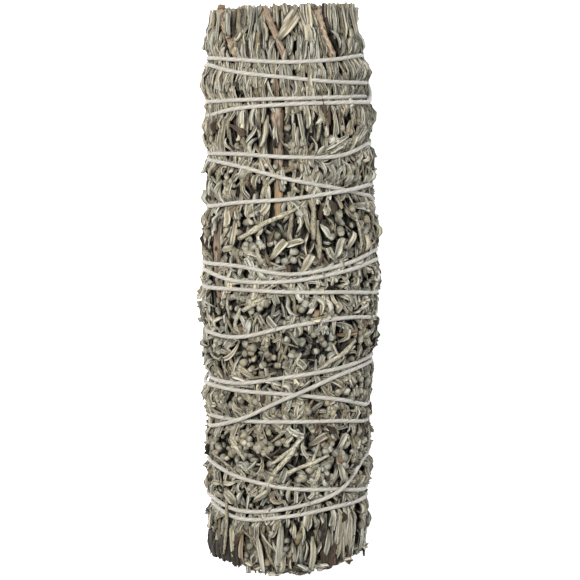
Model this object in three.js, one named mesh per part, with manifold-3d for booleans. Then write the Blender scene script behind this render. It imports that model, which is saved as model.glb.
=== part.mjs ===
// A bundle of dried sagebrush sprigs bound with one length of cotton string, lying on its side.
// Units are millimetres. The stick lies along Y, cut stem ends towards +Y, and rests on Z = 0.
// An angle round the stick is counted in degrees from the top (+Z) towards +X.

import * as THREE from 'three';
import { mergeVertices } from 'three/addons/utils/BufferGeometryUtils.js';
import Module from 'manifold-3d';

const wasm = await Module();
wasm.setup();

// Driving dimensions of the bundle
const BUTT_Y = 104;           // where the packed leaves end, at the cut end
const TIP_Y = -98;            // where they end at the leafy end
const HALF_LENGTH = 108;      // the longest stem and twig reach this far
const AXIS_HEIGHT = 31.3;     // the stick's middle line above the surface it lies on
const GAP = 0.3;              // kept between pieces that touch

// Sprigs
const SPRIGS = 12;            // leafy sprigs round the outside
const INNER_SPRIGS = 4;       // and round the middle stem
const RING_RADIUS = 13;       // between the inner and the outer sprigs
const FIRST_SPRIG = -8;       // the angle of the sprig that holds the thick bark stem
const LEAF_THICKNESS = 0.8;

// String
const STRING_RADIUS = 0.85;
const STRING_DEPTH = 0.5;     // its middle lies this far below the leaf tips
const STRING_SIDES = 5;
const LEAST_CLEARANCE = 0.9;  // between the string and the surface that the stick lies on
const STRING_STEP = 22;       // degrees between two points of its route
const FRONT = [-72, -36, 0, 36, 72];

// Where each turn crosses the five angles of FRONT, along the stick, and the angle behind the
// stick at which it moves on to the next turn. The string goes down the stick and comes back.
const TURNS = [
  [86.5, 85.5, 84.5, 85.5, 87.5, 215],
  [84, 81, 79, 77.5, 77.5, 240],
  [70.5, 71, 71.5, 72, 72.5, 118],
  [49, 47, 42.5, 39, 36, 105],
  [11, 11, 8.5, 11.5, 15.5, 240],
  [2, 2.5, 2, 1.5, 0, 125],
  [-32, -32, -29, -26.5, -24, 238],
  [-34.2, -34.8, -35.5, -38, -42, 130],
  [-46, -46, -45.5, -46, -48, 112],
  [-63.5, -67, -70, -71.5, -74, 235],
  [-79.5, -82.5, -80.5, -78, -77.5, 225],
  [-77, -79.5, -77.5, -72.5, -61.5, 118],
  [-50, -45.5, -36.5, -29.2, -26.2, 228],
  [-14.5, -15, -10.5, -8, -9, 110],
  [8.2, 5.5, 6, 9, 12, 232],
  [32, 34, 35.5, 38, 40, 120],
  [51.5, 51.5, 50.5, 50.8, 55, 235],
  [65.5, 68, 69.4, 70, 70.3, 105],
];
const KNOT = { angle: 122, y: 81.6, radius: 2.3 };

// Woody stems: radius, and the angle and depth below the leaf tips at places along the stick
const STEMS = [
  { radius: 1.5, route: [[106.5, -77, 1], [94, -52, 1], [86, -41, 1.2], [70, -38, 6], [30, -40, 9]] },
  { radius: 1.2, route: [[107.2, -17, 1], [86, 0, 1.2], [70, 8, 6], [20, 12, 9]] },
  { radius: 1.6, route: [[106.5, 29, 1], [94, 34, 1], [86, 41, 1.2], [72, 46, 6], [20, 50, 9]] },
  {
    radius: 1.4,
    route: [[107.2, 66, 1], [98, 73, 1.5], [84, 76, 7], [-60, 70, 7], [-78, 62, 1.2], [-101, 60, 1]],
  },
  { radius: 2.1, route: [[104.5, -9, 9], [84, -9, 7], [69, -8, 1.2], [50, -8, 1.2], [28, -8, 1.4]] },
  { radius: 1.7, route: [[105.5, -60, 9], [50, -64, 8], [32, -65, 1.2], [0, -59, 1.2], [-16, -58, 7]] },
  { radius: 1.8, route: [[106.5, 98, 1.5], [80, 104, 2], [60, 108, 7], [-45, 110, 9]] },
  { radius: 1.5, route: [[105.5, 140, 3], [60, 136, 8], [30, 132, 1.5], [-14, 126, 1.5], [-30, 124, 8]] },
  { radius: 1.6, route: [[107, 172, 6], [40, 170, 9], [-55, 172, 9]] },
  { radius: 2.0, route: [[106.8, 205, 5], [30, 203, 9], [-50, 200, 9]] },
  {
    radius: 1.7,
    route: [[105.5, 236, 2], [80, 232, 3], [60, 230, 8], [-20, 232, 8], [-48, 236, 2.4], [-74, 240, 2.6]],
  },
  { radius: 1.5, route: [[106.5, 262, 1.5], [84, 258, 2], [62, 254, 8], [-40, 256, 9]] },
];
const CORE_STEM_RADIUS = 2.6;
const STEM_SIDES = 5;
const CORE_STEM_SIDES = 8;
const STEM_SEEDS = 500;

const COLOURS = {
  sprig: [0x8f8b78, 0x86836f, 0x979280, 0x7d7a68],
  stem: [0x7a5f45, 0x8b6a49, 0x6c5844, 0x94734f],
  string: 0xe2dccb,
};

const radians = THREE.MathUtils.degToRad;
const { smoothstep, lerp, clamp } = THREE.MathUtils;

// Draws the same row of numbers every time for the same seed
function seeded(seed) {
  let state = seed;
  return () => {
    state = (state + 0x6d2b79f5) | 0;
    let t = Math.imul(state ^ (state >>> 15), 1 | state);
    t = (t + Math.imul(t ^ (t >>> 7), 61 | t)) ^ t;
    return ((t ^ (t >>> 14)) >>> 0) / 4294967296;
  };
}

// The stick's girth: fullest a little past its middle, drawn in at both ends
const PLAIN_GIRTH = 30.6;
const BELLY = { rise: 2.6, y: 3, spread: 29 };
const DRAWN_IN = { cutEnd: 3.7, leafyEnd: 1.7 };
function girth(y) {
  const belly = BELLY.rise * Math.exp(-(((y - BELLY.y) / BELLY.spread) ** 2));
  const drawnIn = DRAWN_IN.cutEnd * smoothstep(y, 75, HALF_LENGTH)
    + DRAWN_IN.leafyEnd * smoothstep(-y, 60, HALF_LENGTH);
  return PLAIN_GIRTH + belly - drawnIn;
}

// The middle line wanders a little to the side, about the middle of the stick's width
const MIDDLE_OF_WIDTH = 0.9;
const BULGE = { aside: 0.9, y: 15, spread: 40 };
const LEAN_AT_CUT_END = 1.7;
function sideways(y) {
  const bulge = BULGE.aside * Math.exp(-(((y - BULGE.y) / BULGE.spread) ** 2));
  return bulge - LEAN_AT_CUT_END * smoothstep(y, 55, 105) - MIDDLE_OF_WIDTH;
}

// A distance across the skin, in degrees round the stick
const SKIN_RADIUS = 31;
function around(across) {
  return (across / SKIN_RADIUS) * THREE.MathUtils.RAD2DEG;
}

// How far the leaf tips reach from the middle line: the girth, pressed flat underneath
function reach(angle, y) {
  const down = -Math.cos(radians(angle));
  return down > 0.01 ? Math.min(girth(y), AXIS_HEIGHT / down) : girth(y);
}

function place(angle, y, radius) {
  const a = radians(angle);
  return new THREE.Vector3(
    sideways(y) + radius * Math.sin(a), y, AXIS_HEIGHT + radius * Math.cos(a));
}

function below(angle, y, depth) {
  return place(angle, y, reach(angle, y) - depth);
}

// A closed skin over rings that hold the same number of points, with flat or pointed ends
function loft(rings, startTip, endTip) {
  const points = rings.flat();
  const n = rings[0].length;
  const faces = [];
  for (let i = 0; i + 1 < rings.length; i++) {
    for (let j = 0; j < n; j++) {
      const a = i * n + j;
      const b = i * n + (j + 1) % n;
      faces.push(a, b, b + n, a, b + n, a + n);
    }
  }
  const last = (rings.length - 1) * n;
  if (startTip) points.push(startTip);
  const start = points.length - 1;
  if (endTip) points.push(endTip);
  const end = points.length - 1;
  for (let j = 0; j < n; j++) {
    const k = (j + 1) % n;
    if (startTip) faces.push(start, k, j);
    else if (j > 0 && k > 0) faces.push(0, k, j);
    if (endTip) faces.push(last + j, last + k, end);
    else if (j > 0 && k > 0) faces.push(last, last + j, last + k);
  }
  const geometry = new THREE.BufferGeometry().setFromPoints(points);
  geometry.setIndex(faces);
  return geometry;
}

// A mesh geometry as a solid that can be joined and cut
function solid(geometry) {
  const bare = geometry.clone();
  bare.deleteAttribute('normal');
  bare.deleteAttribute('uv');
  const merged = mergeVertices(bare, 1e-4);
  const made = new wasm.Manifold(new wasm.Mesh({
    numProp: 3,
    vertProperties: Float32Array.from(merged.attributes.position.array),
    triVerts: Uint32Array.from(merged.index.array),
  }));
  return made.volume() > 0 ? made : solid(turned(merged));
}

// The same mesh with its faces pointing the other way
function turned(geometry) {
  const index = geometry.index.array;
  const flipped = [];
  for (let i = 0; i < index.length; i += 3) flipped.push(index[i], index[i + 2], index[i + 1]);
  geometry.setIndex(flipped);
  return geometry;
}

// The largest body of a solid, as a geometry: loose scraps are dropped, and so are the slivers
// that cuts leave, finer than FINEST
const FINEST = 0.03;
function largest(made) {
  const bodies = made.simplify(FINEST).decompose().sort((a, b) => b.volume() - a.volume());
  const mesh = bodies[0].getMesh();
  const geometry = new THREE.BufferGeometry();
  geometry.setAttribute('position', new THREE.BufferAttribute(mesh.vertProperties, mesh.numProp));
  geometry.setIndex(new THREE.BufferAttribute(mesh.triVerts, 1));
  return geometry;
}

function section(radius, sides) {
  const shape = new THREE.Shape();
  for (let i = 0; i < sides; i++) {
    const a = (i / sides) * 2 * Math.PI;
    if (i === 0) shape.moveTo(radius, 0);
    else shape.lineTo(radius * Math.cos(a), radius * Math.sin(a));
  }
  return shape;
}

// The string: a smooth value along one turn, from its five front places
function frontY(turn, angle) {
  const at = clamp((angle - FRONT[0]) / (FRONT[1] - FRONT[0]), 0, 4);
  const i = Math.min(Math.floor(at), 3);
  const t = at - i;
  const row = TURNS[turn];
  const [p0, p1, p2, p3] = [row[Math.max(i - 1, 0)], row[i], row[i + 1], row[Math.min(i + 2, 4)]];
  const bend = 2 * p0 - 5 * p1 + 4 * p2 - p3;
  return 0.5 * (2 * p1 + (p2 - p0) * t + bend * t * t + (3 * p1 - p0 - 3 * p2 + p3) * t ** 3);
}

const LAST = TURNS.length - 1;
const STRING_START = KNOT.angle - 360;
const STRING_END = LAST * 360 + KNOT.angle;

// Where the string lies along the stick after it has gone round by so many degrees. It moves on
// to its next turn within MOVING_ON degrees before and after the place that the turn names.
const MOVING_ON = 36;
function stringY(travel) {
  if (travel < FRONT[0]) {
    return lerp(KNOT.y, TURNS[0][0], smoothstep(travel, STRING_START, FRONT[0]));
  }
  const turn = Math.min(Math.floor((travel - FRONT[0]) / 360), LAST);
  const angle = travel - turn * 360;
  if (angle <= FRONT[4]) return frontY(turn, angle);
  if (turn === LAST) return lerp(TURNS[LAST][4], KNOT.y, smoothstep(angle, FRONT[4], KNOT.angle));
  const moved = smoothstep(angle, TURNS[turn][5] - MOVING_ON, TURNS[turn][5] + MOVING_ON);
  return lerp(TURNS[turn][4], TURNS[turn + 1][0], moved);
}

// A later turn rises over an earlier one that it crosses, which sinks a little. Two turns cross
// when their order along the stick changes within CROSSING_SPAN degrees.
const OVER = 0.95;
const UNDER = 1.15;
const CROSSING_SPAN = 40;
function crossingLift(travel) {
  let lift = 0;
  const y = stringY(travel);
  for (let other = travel % 360 - 360; other <= STRING_END; other += 360) {
    if (other < STRING_START || Math.abs(other - travel) < 1) continue;
    const side = (shift) => {
      const a = clamp(travel + shift, STRING_START, STRING_END);
      const b = clamp(other + shift, STRING_START, STRING_END);
      return Math.sign(stringY(a) - stringY(b));
    };
    const crosses = side(-CROSSING_SPAN) !== side(CROSSING_SPAN) || side(0) !== side(-CROSSING_SPAN);
    if (!crosses) continue;
    const near = 1 - smoothstep(Math.abs(y - stringY(other)), 2.2, 4.2);
    const amount = other < travel ? OVER * near : -UNDER * near;
    if (Math.abs(amount) > Math.abs(lift)) lift = amount;
  }
  return lift;
}

function stringRoute() {
  const points = [];
  const steps = Math.round((STRING_END - STRING_START) / STRING_STEP);
  for (let i = 0; i <= steps; i++) {
    const travel = lerp(STRING_START, STRING_END, i / steps);
    const y = stringY(travel);
    const point = below(travel, y, STRING_DEPTH - crossingLift(travel));
    point.z = Math.max(point.z, STRING_RADIUS + LEAST_CLEARANCE);
    points.push(point);
  }
  return points;
}

const ROUTE = stringRoute();

// The string with its knot, as thick as asked: a thicker one is the room that the sprigs leave it
function stringSolid(extra) {
  const curve = new THREE.CatmullRomCurve3(ROUTE, false, 'centripetal');
  curve.arcLengthDivisions = 8000;
  const tube = new THREE.ExtrudeGeometry(section(STRING_RADIUS + extra, STRING_SIDES), {
    steps: ROUTE.length - 1, bevelEnabled: false, extrudePath: curve,
  });
  const knot = new THREE.IcosahedronGeometry(KNOT.radius + extra, 1);
  knot.scale(0.9, 1.25, 1);
  const middle = ROUTE[0].clone().add(ROUTE[ROUTE.length - 1]).multiplyScalar(0.5);
  knot.translate(middle.x, middle.y, middle.z);
  let made = solid(tube).add(solid(knot));
  for (const way of [-1, 1]) {
    const end = place(KNOT.angle + way * 9, KNOT.y - way * 5, reach(KNOT.angle, KNOT.y) + 1.2);
    const tail = new THREE.ExtrudeGeometry(section((STRING_RADIUS + extra) * 0.9, STRING_SIDES), {
      steps: 3, bevelEnabled: false, extrudePath: new THREE.LineCurve3(middle, end),
    });
    made = made.add(solid(tail));
  }
  return made;
}

// A woody stem, thicker at its cut end, which is sawn a little askew. With extra it is the room
// that the sprigs leave it, open past both of its ends.
const STEM_SUNK = 1.2;
const STEM_TAPER = { from: 1.12, by: 0.35 };
function stemRings(stem, extra, sides, random) {
  const { route, radius } = stem;
  const curve = new THREE.CatmullRomCurve3(route.map(([y, angle, depth]) => (
    below(angle, y, depth + radius + STEM_SUNK))), false, 'centripetal');
  const steps = route.length + 2;
  const rings = [];
  for (let i = 0; i <= steps; i++) {
    const u = i / steps;
    const middle = curve.getPointAt(u);
    const taper = STEM_TAPER.from - STEM_TAPER.by * u;
    const ring = [];
    for (let j = 0; j < sides; j++) {
      const a = (j / sides) * 2 * Math.PI;
      const r = radius * taper * (1 - 0.14 * random()) + extra;
      const y = middle.y + (i === 0 ? 0.5 * r * Math.sin(a + radius * 9) : 0);
      ring.push(new THREE.Vector3(middle.x + r * Math.cos(a), y, middle.z + r * Math.sin(a)));
    }
    rings.push(ring);
  }
  if (extra > 0) {
    rings.unshift(rings[0].map((point) => new THREE.Vector3(point.x, HALF_LENGTH + 6, point.z)));
    rings[rings.length - 1].forEach((point) => { point.y -= extra; });
  }
  return rings;
}

// The sprigs lie side by side, and the seams between them wander along the stick
const SEAM_WANDER = 4.5;
function seam(index, y) {
  const wander = SEAM_WANDER * Math.sin(y / 36 + index * 2.1);
  return FIRST_SPRIG + (index - 0.5) * (360 / SPRIGS) + wander;
}

// The nearest angle that keeps a margin from both seams of a sprig

function inSprig(sprig, angle, y, radius, margin = GAP) {
  const room = (margin / radius) * THREE.MathUtils.RAD2DEG;
  return clamp(angle, seam(sprig, y) + room, seam(sprig + 1, y) - room);
}

// The packed leaves of a sprig: its skin rises in long pointed folds that take turns from column
// to column, as leaves lying side by side do. The folds are pressed down under the string.
const ROW_GAP = 8.6;
const COLUMNS = 4;
const RAISED_DEPTH = 0.7;
const PRESSED_DEPTH = 2.7;
const FOLD_DEPTH = 4.2;
const LEAF_ROOT = FOLD_DEPTH + 0.8;   // a leaf's root is sunk this far below the leaf tips

// How far along the stick the nearest turn of string is
function nearestString(angle, y) {
  let nearest = Infinity;
  for (let travel = (angle % 360) - 360; travel <= STRING_END; travel += 360) {
    if (travel >= STRING_START) nearest = Math.min(nearest, Math.abs(y - stringY(travel)));
  }
  return nearest;
}

function packedBody(sprig, random) {
  const rows = Math.round((BUTT_Y - TIP_Y) / ROW_GAP);
  const rings = [];
  for (let i = 0; i <= rows; i++) {
    const middle = lerp(TIP_Y, BUTT_Y, i / rows);
    const atEnd = i === 0 || i === rows;
    const ring = [];
    for (let j = 0; j <= COLUMNS; j++) {
      const y = middle + (i === 0 ? 9 : 3.4) * (random() - 0.5);
      const share = clamp(j / COLUMNS + (random() - 0.5) * 0.08, 0, 1);
      const angle = lerp(seam(sprig, y), seam(sprig + 1, y), share);
      const raised = (i + 2 * j + sprig) % 4 < 2;
      const free = smoothstep(nearestString(angle, y), 3.6, 6.5);
      const loose = lerp(PRESSED_DEPTH, RAISED_DEPTH + 0.9 * random(), free);
      const depth = (raised ? loose : FOLD_DEPTH + 0.6 * random()) + (atEnd ? 1.2 : 0);
      const radius = reach(angle, y) - depth;
      ring.push(place(inSprig(sprig, angle, y, radius), y, radius));
    }
    const inner = RING_RADIUS + GAP;
    ring.push(place(inSprig(sprig, Infinity, middle, inner), middle, inner));
    ring.push(place(inSprig(sprig, -Infinity, middle, inner), middle, inner));
    rings.push(ring);
  }
  return loft(rings);
}

// A dried leaf curled along its rib: its root is sunk in the packed leaves, its tip stands free
const LEAF_RADIUS = 25;       // where a leaf's margin from the seams is measured
function curledLeaf(sprig, leaf) {
  const { angle, y, turn, length, width, rise, steps } = leaf;
  const along = (t) => {
    const reachOut = (t - 0.5) * length;
    const wave = 0.06 * length * Math.sin(t * 5 + angle);
    return {
      y: y - reachOut * Math.cos(turn) + wave * Math.sin(turn),
      angle: angle + around(reachOut * Math.sin(turn) + wave * Math.cos(turn)),
    };
  };
  const point = (t, across, depth) => {
    const at = along(t);
    const py = clamp(at.y - across * Math.sin(turn), leaf.lowY, leaf.highY);
    const middle = inSprig(sprig, at.angle, py, LEAF_RADIUS, width * 0.3);
    const pa = middle + around(across * Math.cos(turn));
    return below(inSprig(sprig, pa, py, LEAF_RADIUS), py, depth);
  };
  const rings = [];
  for (let i = 1; i < steps; i++) {
    const t = i / steps;
    const half = 0.5 * width * Math.sin(Math.PI * t ** 0.8) * (i % 2 ? 1 : 0.84);
    const crest = lerp(0.9, -rise, smoothstep(t, 0.1, 0.7)) - 0.2;
    rings.push([
      point(t, -half, crest + LEAF_THICKNESS + 0.4),
      point(t, half, crest + LEAF_THICKNESS),
      point(t, half * 0.15, crest),
    ]);
  }
  return loft(rings, point(0, 0, LEAF_ROOT), point(1, 0, 0.2 - rise));
}

// A flat leaf shaped like a wedge, its broad tip cut into three teeth
function toothedLeaf(sprig, leaf) {
  const { angle, y, turn, length, width } = leaf;
  const w = width / 2;
  const outline = [
    [-0.15 * w, 0], [0.15 * w, 0], [0.8 * w, 0.66 * length], [w, 0.97 * length],
    [0.42 * w, 0.8 * length], [0, length], [-0.42 * w, 0.8 * length],
    [-w, 0.97 * length], [-0.8 * w, 0.66 * length],
  ];
  const shape = new THREE.Shape(outline.map(([a, b]) => new THREE.Vector2(a, b)));
  const geometry = new THREE.ExtrudeGeometry(shape, { depth: LEAF_THICKNESS, bevelEnabled: false });
  const position = geometry.attributes.position;
  for (let i = 0; i < position.count; i++) {
    const across = position.getX(i);
    const t = position.getY(i) / length;
    const out = (t - 0.5) * length;
    const py = clamp(y - out * Math.cos(turn) - across * Math.sin(turn), leaf.lowY, leaf.highY);
    const middle = inSprig(
      sprig, angle + around(out * Math.sin(turn)), py, LEAF_RADIUS, width * 0.3);
    const pa = middle + around(across * Math.cos(turn));
    const depth = lerp(LEAF_ROOT, 0.3, Math.min(1, t * 1.5)) - position.getZ(i);
    const spot = below(inSprig(sprig, pa, py, LEAF_RADIUS), py, depth);
    position.setXYZ(i, spot.x, spot.y, spot.z);
  }
  return geometry;
}

// A twig with flower buds set along it on both sides
const BUD_RADIUS = 1.9;
const BUD_ROOM = 3.4;
const TWIG_ROOM = 2;
const SPRAY_RADIUS = 24;
const SPRAY_BUDS = 4;
function budSpray(sprig, leaf, random) {
  const { angle, y, turn, length } = leaf;
  const spot = (t, across, depth, margin = GAP) => {
    const out = (t - 0.5) * length;
    const py = clamp(y - out * Math.cos(turn) - across * Math.sin(turn), leaf.lowY, leaf.highY);
    const middle = inSprig(
      sprig, angle + around(out * Math.sin(turn)), py, SPRAY_RADIUS, TWIG_ROOM);
    const pa = middle + around(across * Math.cos(turn));
    return below(inSprig(sprig, pa, py, SPRAY_RADIUS, margin), py, depth);
  };
  const rings = [];
  for (const [t, depth] of [[0, FOLD_DEPTH + 1], [0.3, 1.3], [0.75, 0.7]]) {
    rings.push([
      spot(t, -0.8, depth), spot(t, 0, depth + 0.9), spot(t, 0.8, depth), spot(t, 0, depth - 0.6),
    ]);
  }
  const pieces = [loft(rings, null, spot(1, 0, 0.4))];
  for (let i = 0; i < SPRAY_BUDS; i++) {
    const bud = new THREE.OctahedronGeometry(BUD_RADIUS + 0.5 * random(), 0);
    bud.rotateX(random() * 3);
    bud.scale(1, 1.3, 1);
    const at = spot(0.3 + 0.16 * i, (i % 2 ? 1.3 : -1.3) * (1.1 - 0.1 * i), 1.6, BUD_ROOM);
    bud.translate(at.x, at.y, at.z);
    pieces.push(bud);
  }
  return pieces;
}

// The stretches between two turns of string at an angle, where leaves stand out
const SMALLEST_BAY = 11;
const BAY_MARGIN = 1.6;
function bays(angle) {
  const crossings = [];
  const first = Math.ceil((STRING_START - angle) / 360);
  for (let n = first; angle + n * 360 <= STRING_END; n++) crossings.push(stringY(angle + n * 360));
  const edges = [HALF_LENGTH - 1, ...crossings.sort((a, b) => b - a), -HALF_LENGTH];
  const found = [];
  for (let i = 0; i + 1 < edges.length; i++) {
    const highY = edges[i] - (i > 0 ? BAY_MARGIN : 0);
    const lowY = edges[i + 1] + (i + 2 < edges.length ? BAY_MARGIN : 0);
    if (highY - lowY > SMALLEST_BAY) found.push({ highY, lowY });
  }
  return found;
}

// The leaves of a sprig, which take turns on both sides of its middle. Below SPIKES_BELOW each
// sprig has one twig of flower buds, and near the cut end the leaves keep more to the stick's line.
const SPRIG_SEEDS = [7, 35, 64, 94, 126, 152, 184, 216, 247, 275, 305, 337];
const LEAF_SPACING = 14;
const LEAF_OVERLAP = 3;
const OFF_MIDDLE = 0.2;
const SPIKES_BELOW = 40;
const ROOM_FOR_BROAD = 12;
const TOOTHED_SHARE = 0.12;
function sprigLeaves(sprig, random) {
  const pieces = [];
  let hasSpray = false;
  const middle = FIRST_SPRIG + sprig * (360 / SPRIGS);
  for (const bay of bays(middle)) {
    const room = bay.highY - bay.lowY;
    const count = Math.max(1, Math.round(room / LEAF_SPACING));
    for (let i = 0; i < count; i++) {
      const from = bay.highY - (i / count) * room + LEAF_OVERLAP;
      const to = bay.highY - ((i + 1) / count) * room - LEAF_OVERLAP;
      const upper = clamp(from, bay.lowY, bay.highY);
      const lower = clamp(to, bay.lowY, bay.highY);
      const y = 0.5 * (upper + lower);
      const wild = y > 25 ? 0.3 : 0.85;
      const side = random() < 0.5 ? OFF_MIDDLE : -OFF_MIDDLE;
      const leaf = {
        angle: middle + (side + (random() - 0.5) * 0.2) * (360 / SPRIGS),
        y,
        turn: (random() - 0.5) * 2 * wild + (random() < 0.2 ? Math.PI : 0),
        length: (upper - lower) * (0.95 + 0.2 * random()),
        width: 7 + 2.4 * random(),
        rise: 0.8 * random(),
        steps: upper - lower > 13 ? 4 : 3,
        lowY: Math.max(bay.lowY, -HALF_LENGTH),
        highY: bay.highY,
      };
      const roomy = room > ROOM_FOR_BROAD;
      const kind = random();
      if (roomy && kind < TOOTHED_SHARE) pieces.push(toothedLeaf(sprig, leaf));
      else if (roomy && !hasSpray && y < SPIKES_BELOW) {
        pieces.push(...budSpray(sprig, leaf, random));
        hasSpray = true;
      } else pieces.push(curledLeaf(sprig, leaf));
    }
  }
  return pieces;
}

// A broad leaf pressed flat under the stick, which it rests on
const RESTING_LEAF = {
  angle: 180, y: -5, turn: 0, length: 20, width: 13, rise: 0.6, steps: 6, lowY: -13, highY: 4,
};

function box(x, y, z, width, depth, height) {
  const geometry = new THREE.BoxGeometry(width, depth, height);
  geometry.translate(x, y, z);
  return solid(geometry);
}

const underSurface = box(0, 0, -20, 200, 400, 40);
const stringRoom = stringSolid(GAP + 0.05);
const stemRooms = STEMS.map((stem, i) => (
  solid(loft(stemRings(stem, GAP + 0.1, STEM_SIDES, seeded(STEM_SEEDS + i))))));

function touches(a, b) {
  const p = a.boundingBox();
  const q = b.boundingBox();
  return [0, 1, 2].every((i) => p.min[i] < q.max[i] && q.min[i] < p.max[i]);
}

function outerSprig(sprig) {
  const random = seeded(SPRIG_SEEDS[sprig]);
  let made = solid(packedBody(sprig, random));
  for (const piece of sprigLeaves(sprig, random)) made = made.add(solid(piece));
  if (seam(sprig, 0) < RESTING_LEAF.angle && seam(sprig + 1, 0) > RESTING_LEAF.angle) {
    made = made.add(solid(curledLeaf(sprig, RESTING_LEAF)));
  }
  made = made.subtract(stringRoom);
  for (const room of stemRooms) {
    if (touches(made, room)) made = made.subtract(room);
  }
  return largest(made.subtract(underSurface));
}

// The sprigs round the middle stem show only at the two ends, each with END_LEAVES leaf tips
const INNER_SEEDS = 300;
const END_LEAVES = 4;
function innerSprig(index) {
  const random = seeded(INNER_SEEDS + index);
  const rings = [];
  const share = 360 / INNER_SPRIGS;
  for (const y of [TIP_Y + 3 - 4 * random(), -60, 0, 60, BUTT_Y - 1 + 2 * random()]) {
    const ring = [];
    for (let j = 0; j <= 3; j++) {
      const edge = lerp(-0.5, 0.5, j / 3) * (share - 3) + index * share;
      ring.push(place(edge, y, RING_RADIUS - 0.3 - 0.6 * random()));
    }
    const inner = CORE_STEM_RADIUS + 1.2;
    ring.push(place((index + 0.4) * share, y, inner), place((index - 0.4) * share, y, inner));
    rings.push(ring);
  }
  let made = solid(loft(rings));
  for (const end of [1, -1]) {
    for (let i = 0; i < END_LEAVES; i++) {
      const angle = index * share + (i - (END_LEAVES - 1) / 2) * share * 0.2;
      const rootY = end > 0 ? BUTT_Y - 5 : TIP_Y + 7;
      const root = place(angle, rootY, 7.5);
      const tipAngle = angle + 8 * random();
      const tip = place(tipAngle, end > 0 ? BUTT_Y + 2 + random() : TIP_Y - 4 - 5 * random(), 8);
      const ring = [[-1.9, -0.6], [1.9, -0.6], [0.2, 0.9]].map(([a, b]) => (
        new THREE.Vector3(root.x + a, root.y + end * 4, root.z + b)));
      made = made.add(solid(loft([ring], root, tip)));
    }
  }
  return largest(made);
}

// The thickest stem, in the middle of the bundle, thinner towards the leafy end
function coreStem() {
  const rings = [TIP_Y - 3, -60, 0, 60, BUTT_Y + 2].map((y) => {
    const radius = lerp(0.7, 1, (y + HALF_LENGTH) / (2 * HALF_LENGTH)) * CORE_STEM_RADIUS;
    return Array.from({ length: CORE_STEM_SIDES }, (_, j) => (
      place((j / CORE_STEM_SIDES) * 360, y, radius)));
  });
  return solid(loft(rings));
}

const group = new THREE.Group();

function addPiece(name, geometry, colour, roughness) {
  geometry.computeVertexNormals();
  const material = new THREE.MeshStandardMaterial({ color: colour, roughness, metalness: 0 });
  const mesh = new THREE.Mesh(geometry, material);
  mesh.name = name;
  group.add(mesh);
}

const number = (i) => String(i + 1).padStart(2, '0');

for (let i = 0; i < SPRIGS; i++) {
  addPiece(`sprig_${number(i)}`, outerSprig(i), COLOURS.sprig[i % 4], 0.95);
}
for (let i = 0; i < INNER_SPRIGS; i++) {
  addPiece(`inner_sprig_${number(i)}`, innerSprig(i), COLOURS.sprig[(i + 1) % 4], 0.95);
}
STEMS.forEach((stem, i) => {
  const made = solid(loft(stemRings(stem, 0, STEM_SIDES, seeded(STEM_SEEDS + i))));
  addPiece(`stem_${number(i)}`, largest(made), COLOURS.stem[i % 4], 0.85);
});
addPiece('core_stem', largest(coreStem()), COLOURS.stem[2], 0.85);
addPiece('string', largest(stringSolid(0)), COLOURS.string, 0.9);

export default group;
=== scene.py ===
# %% [markdown]
# # A smudge stick of dried sagebrush, dressed leaf by leaf
#
# The real object is a thick bundle of dried sprigs, bound from end to end with one cotton string.
# What the eye reads is a crowd of small things: curled narrow leaves, round flower buds, twigs,
# bark, and dark gaps between them. Its solids are already made, so here each solid is replaced by
# the small pieces that it stands for, in the same place and with nearly the same outline.

# %% Load the frame
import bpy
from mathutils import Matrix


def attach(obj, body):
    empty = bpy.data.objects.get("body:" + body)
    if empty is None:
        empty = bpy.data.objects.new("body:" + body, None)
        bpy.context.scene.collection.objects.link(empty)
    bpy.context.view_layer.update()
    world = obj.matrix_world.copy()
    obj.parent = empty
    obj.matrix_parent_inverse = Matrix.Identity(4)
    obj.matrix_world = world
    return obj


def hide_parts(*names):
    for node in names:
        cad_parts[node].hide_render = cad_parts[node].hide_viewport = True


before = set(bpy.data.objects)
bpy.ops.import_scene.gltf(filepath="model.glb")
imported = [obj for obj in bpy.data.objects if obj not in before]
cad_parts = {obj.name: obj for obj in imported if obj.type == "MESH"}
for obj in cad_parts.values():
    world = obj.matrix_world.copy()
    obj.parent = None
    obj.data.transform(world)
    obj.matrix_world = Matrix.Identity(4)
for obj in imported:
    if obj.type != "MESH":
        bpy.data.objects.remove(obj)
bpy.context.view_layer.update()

import math

import bpy
import numpy as np
from mathutils import Matrix

MM = 0.001

# %% [markdown]
# ## The form that everything lies on
#
# A place on the stick is told by three numbers: the angle round it from the top, the place along
# it, and the height over the usual reach of the leaf tips. The same rule made the solids, so the
# small pieces end up exactly over them. All lengths are millimetres until a mesh is written.

# %% The stick's outer form
BUTT_Y = 104.0
TIP_Y = -98.0
AXIS_HEIGHT = 31.3
MIDDLE_OF_WIDTH = 0.9
MEAN_GIRTH = 31.0


def smooth_step(value, low, high):
    t = np.clip((value - low) / (high - low), 0.0, 1.0)
    return t * t * (3.0 - 2.0 * t)


def girth(y):
    """The radius: a belly in the middle, drawn in towards both ends."""
    belly = 2.6 * np.exp(-(((y - 3.0) / 29.0) ** 2))
    return 30.6 + belly - 3.7 * smooth_step(y, 75.0, 108.0) - 1.7 * smooth_step(-y, 60.0, 108.0)


def sideways(y):
    """How far the middle line bows to the right."""
    bow = 0.9 * np.exp(-(((y - 15.0) / 40.0) ** 2))
    return bow - 1.7 * smooth_step(y, 55.0, 105.0) - MIDDLE_OF_WIDTH


def reach(angle, y):
    """The radius at an angle, cut off flat where the stick lies on the floor."""
    down = -np.cos(np.radians(angle))
    flat = AXIS_HEIGHT / np.maximum(down, 0.01)
    return np.where(down > 0.01, np.minimum(girth(y), flat), girth(y))


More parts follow.
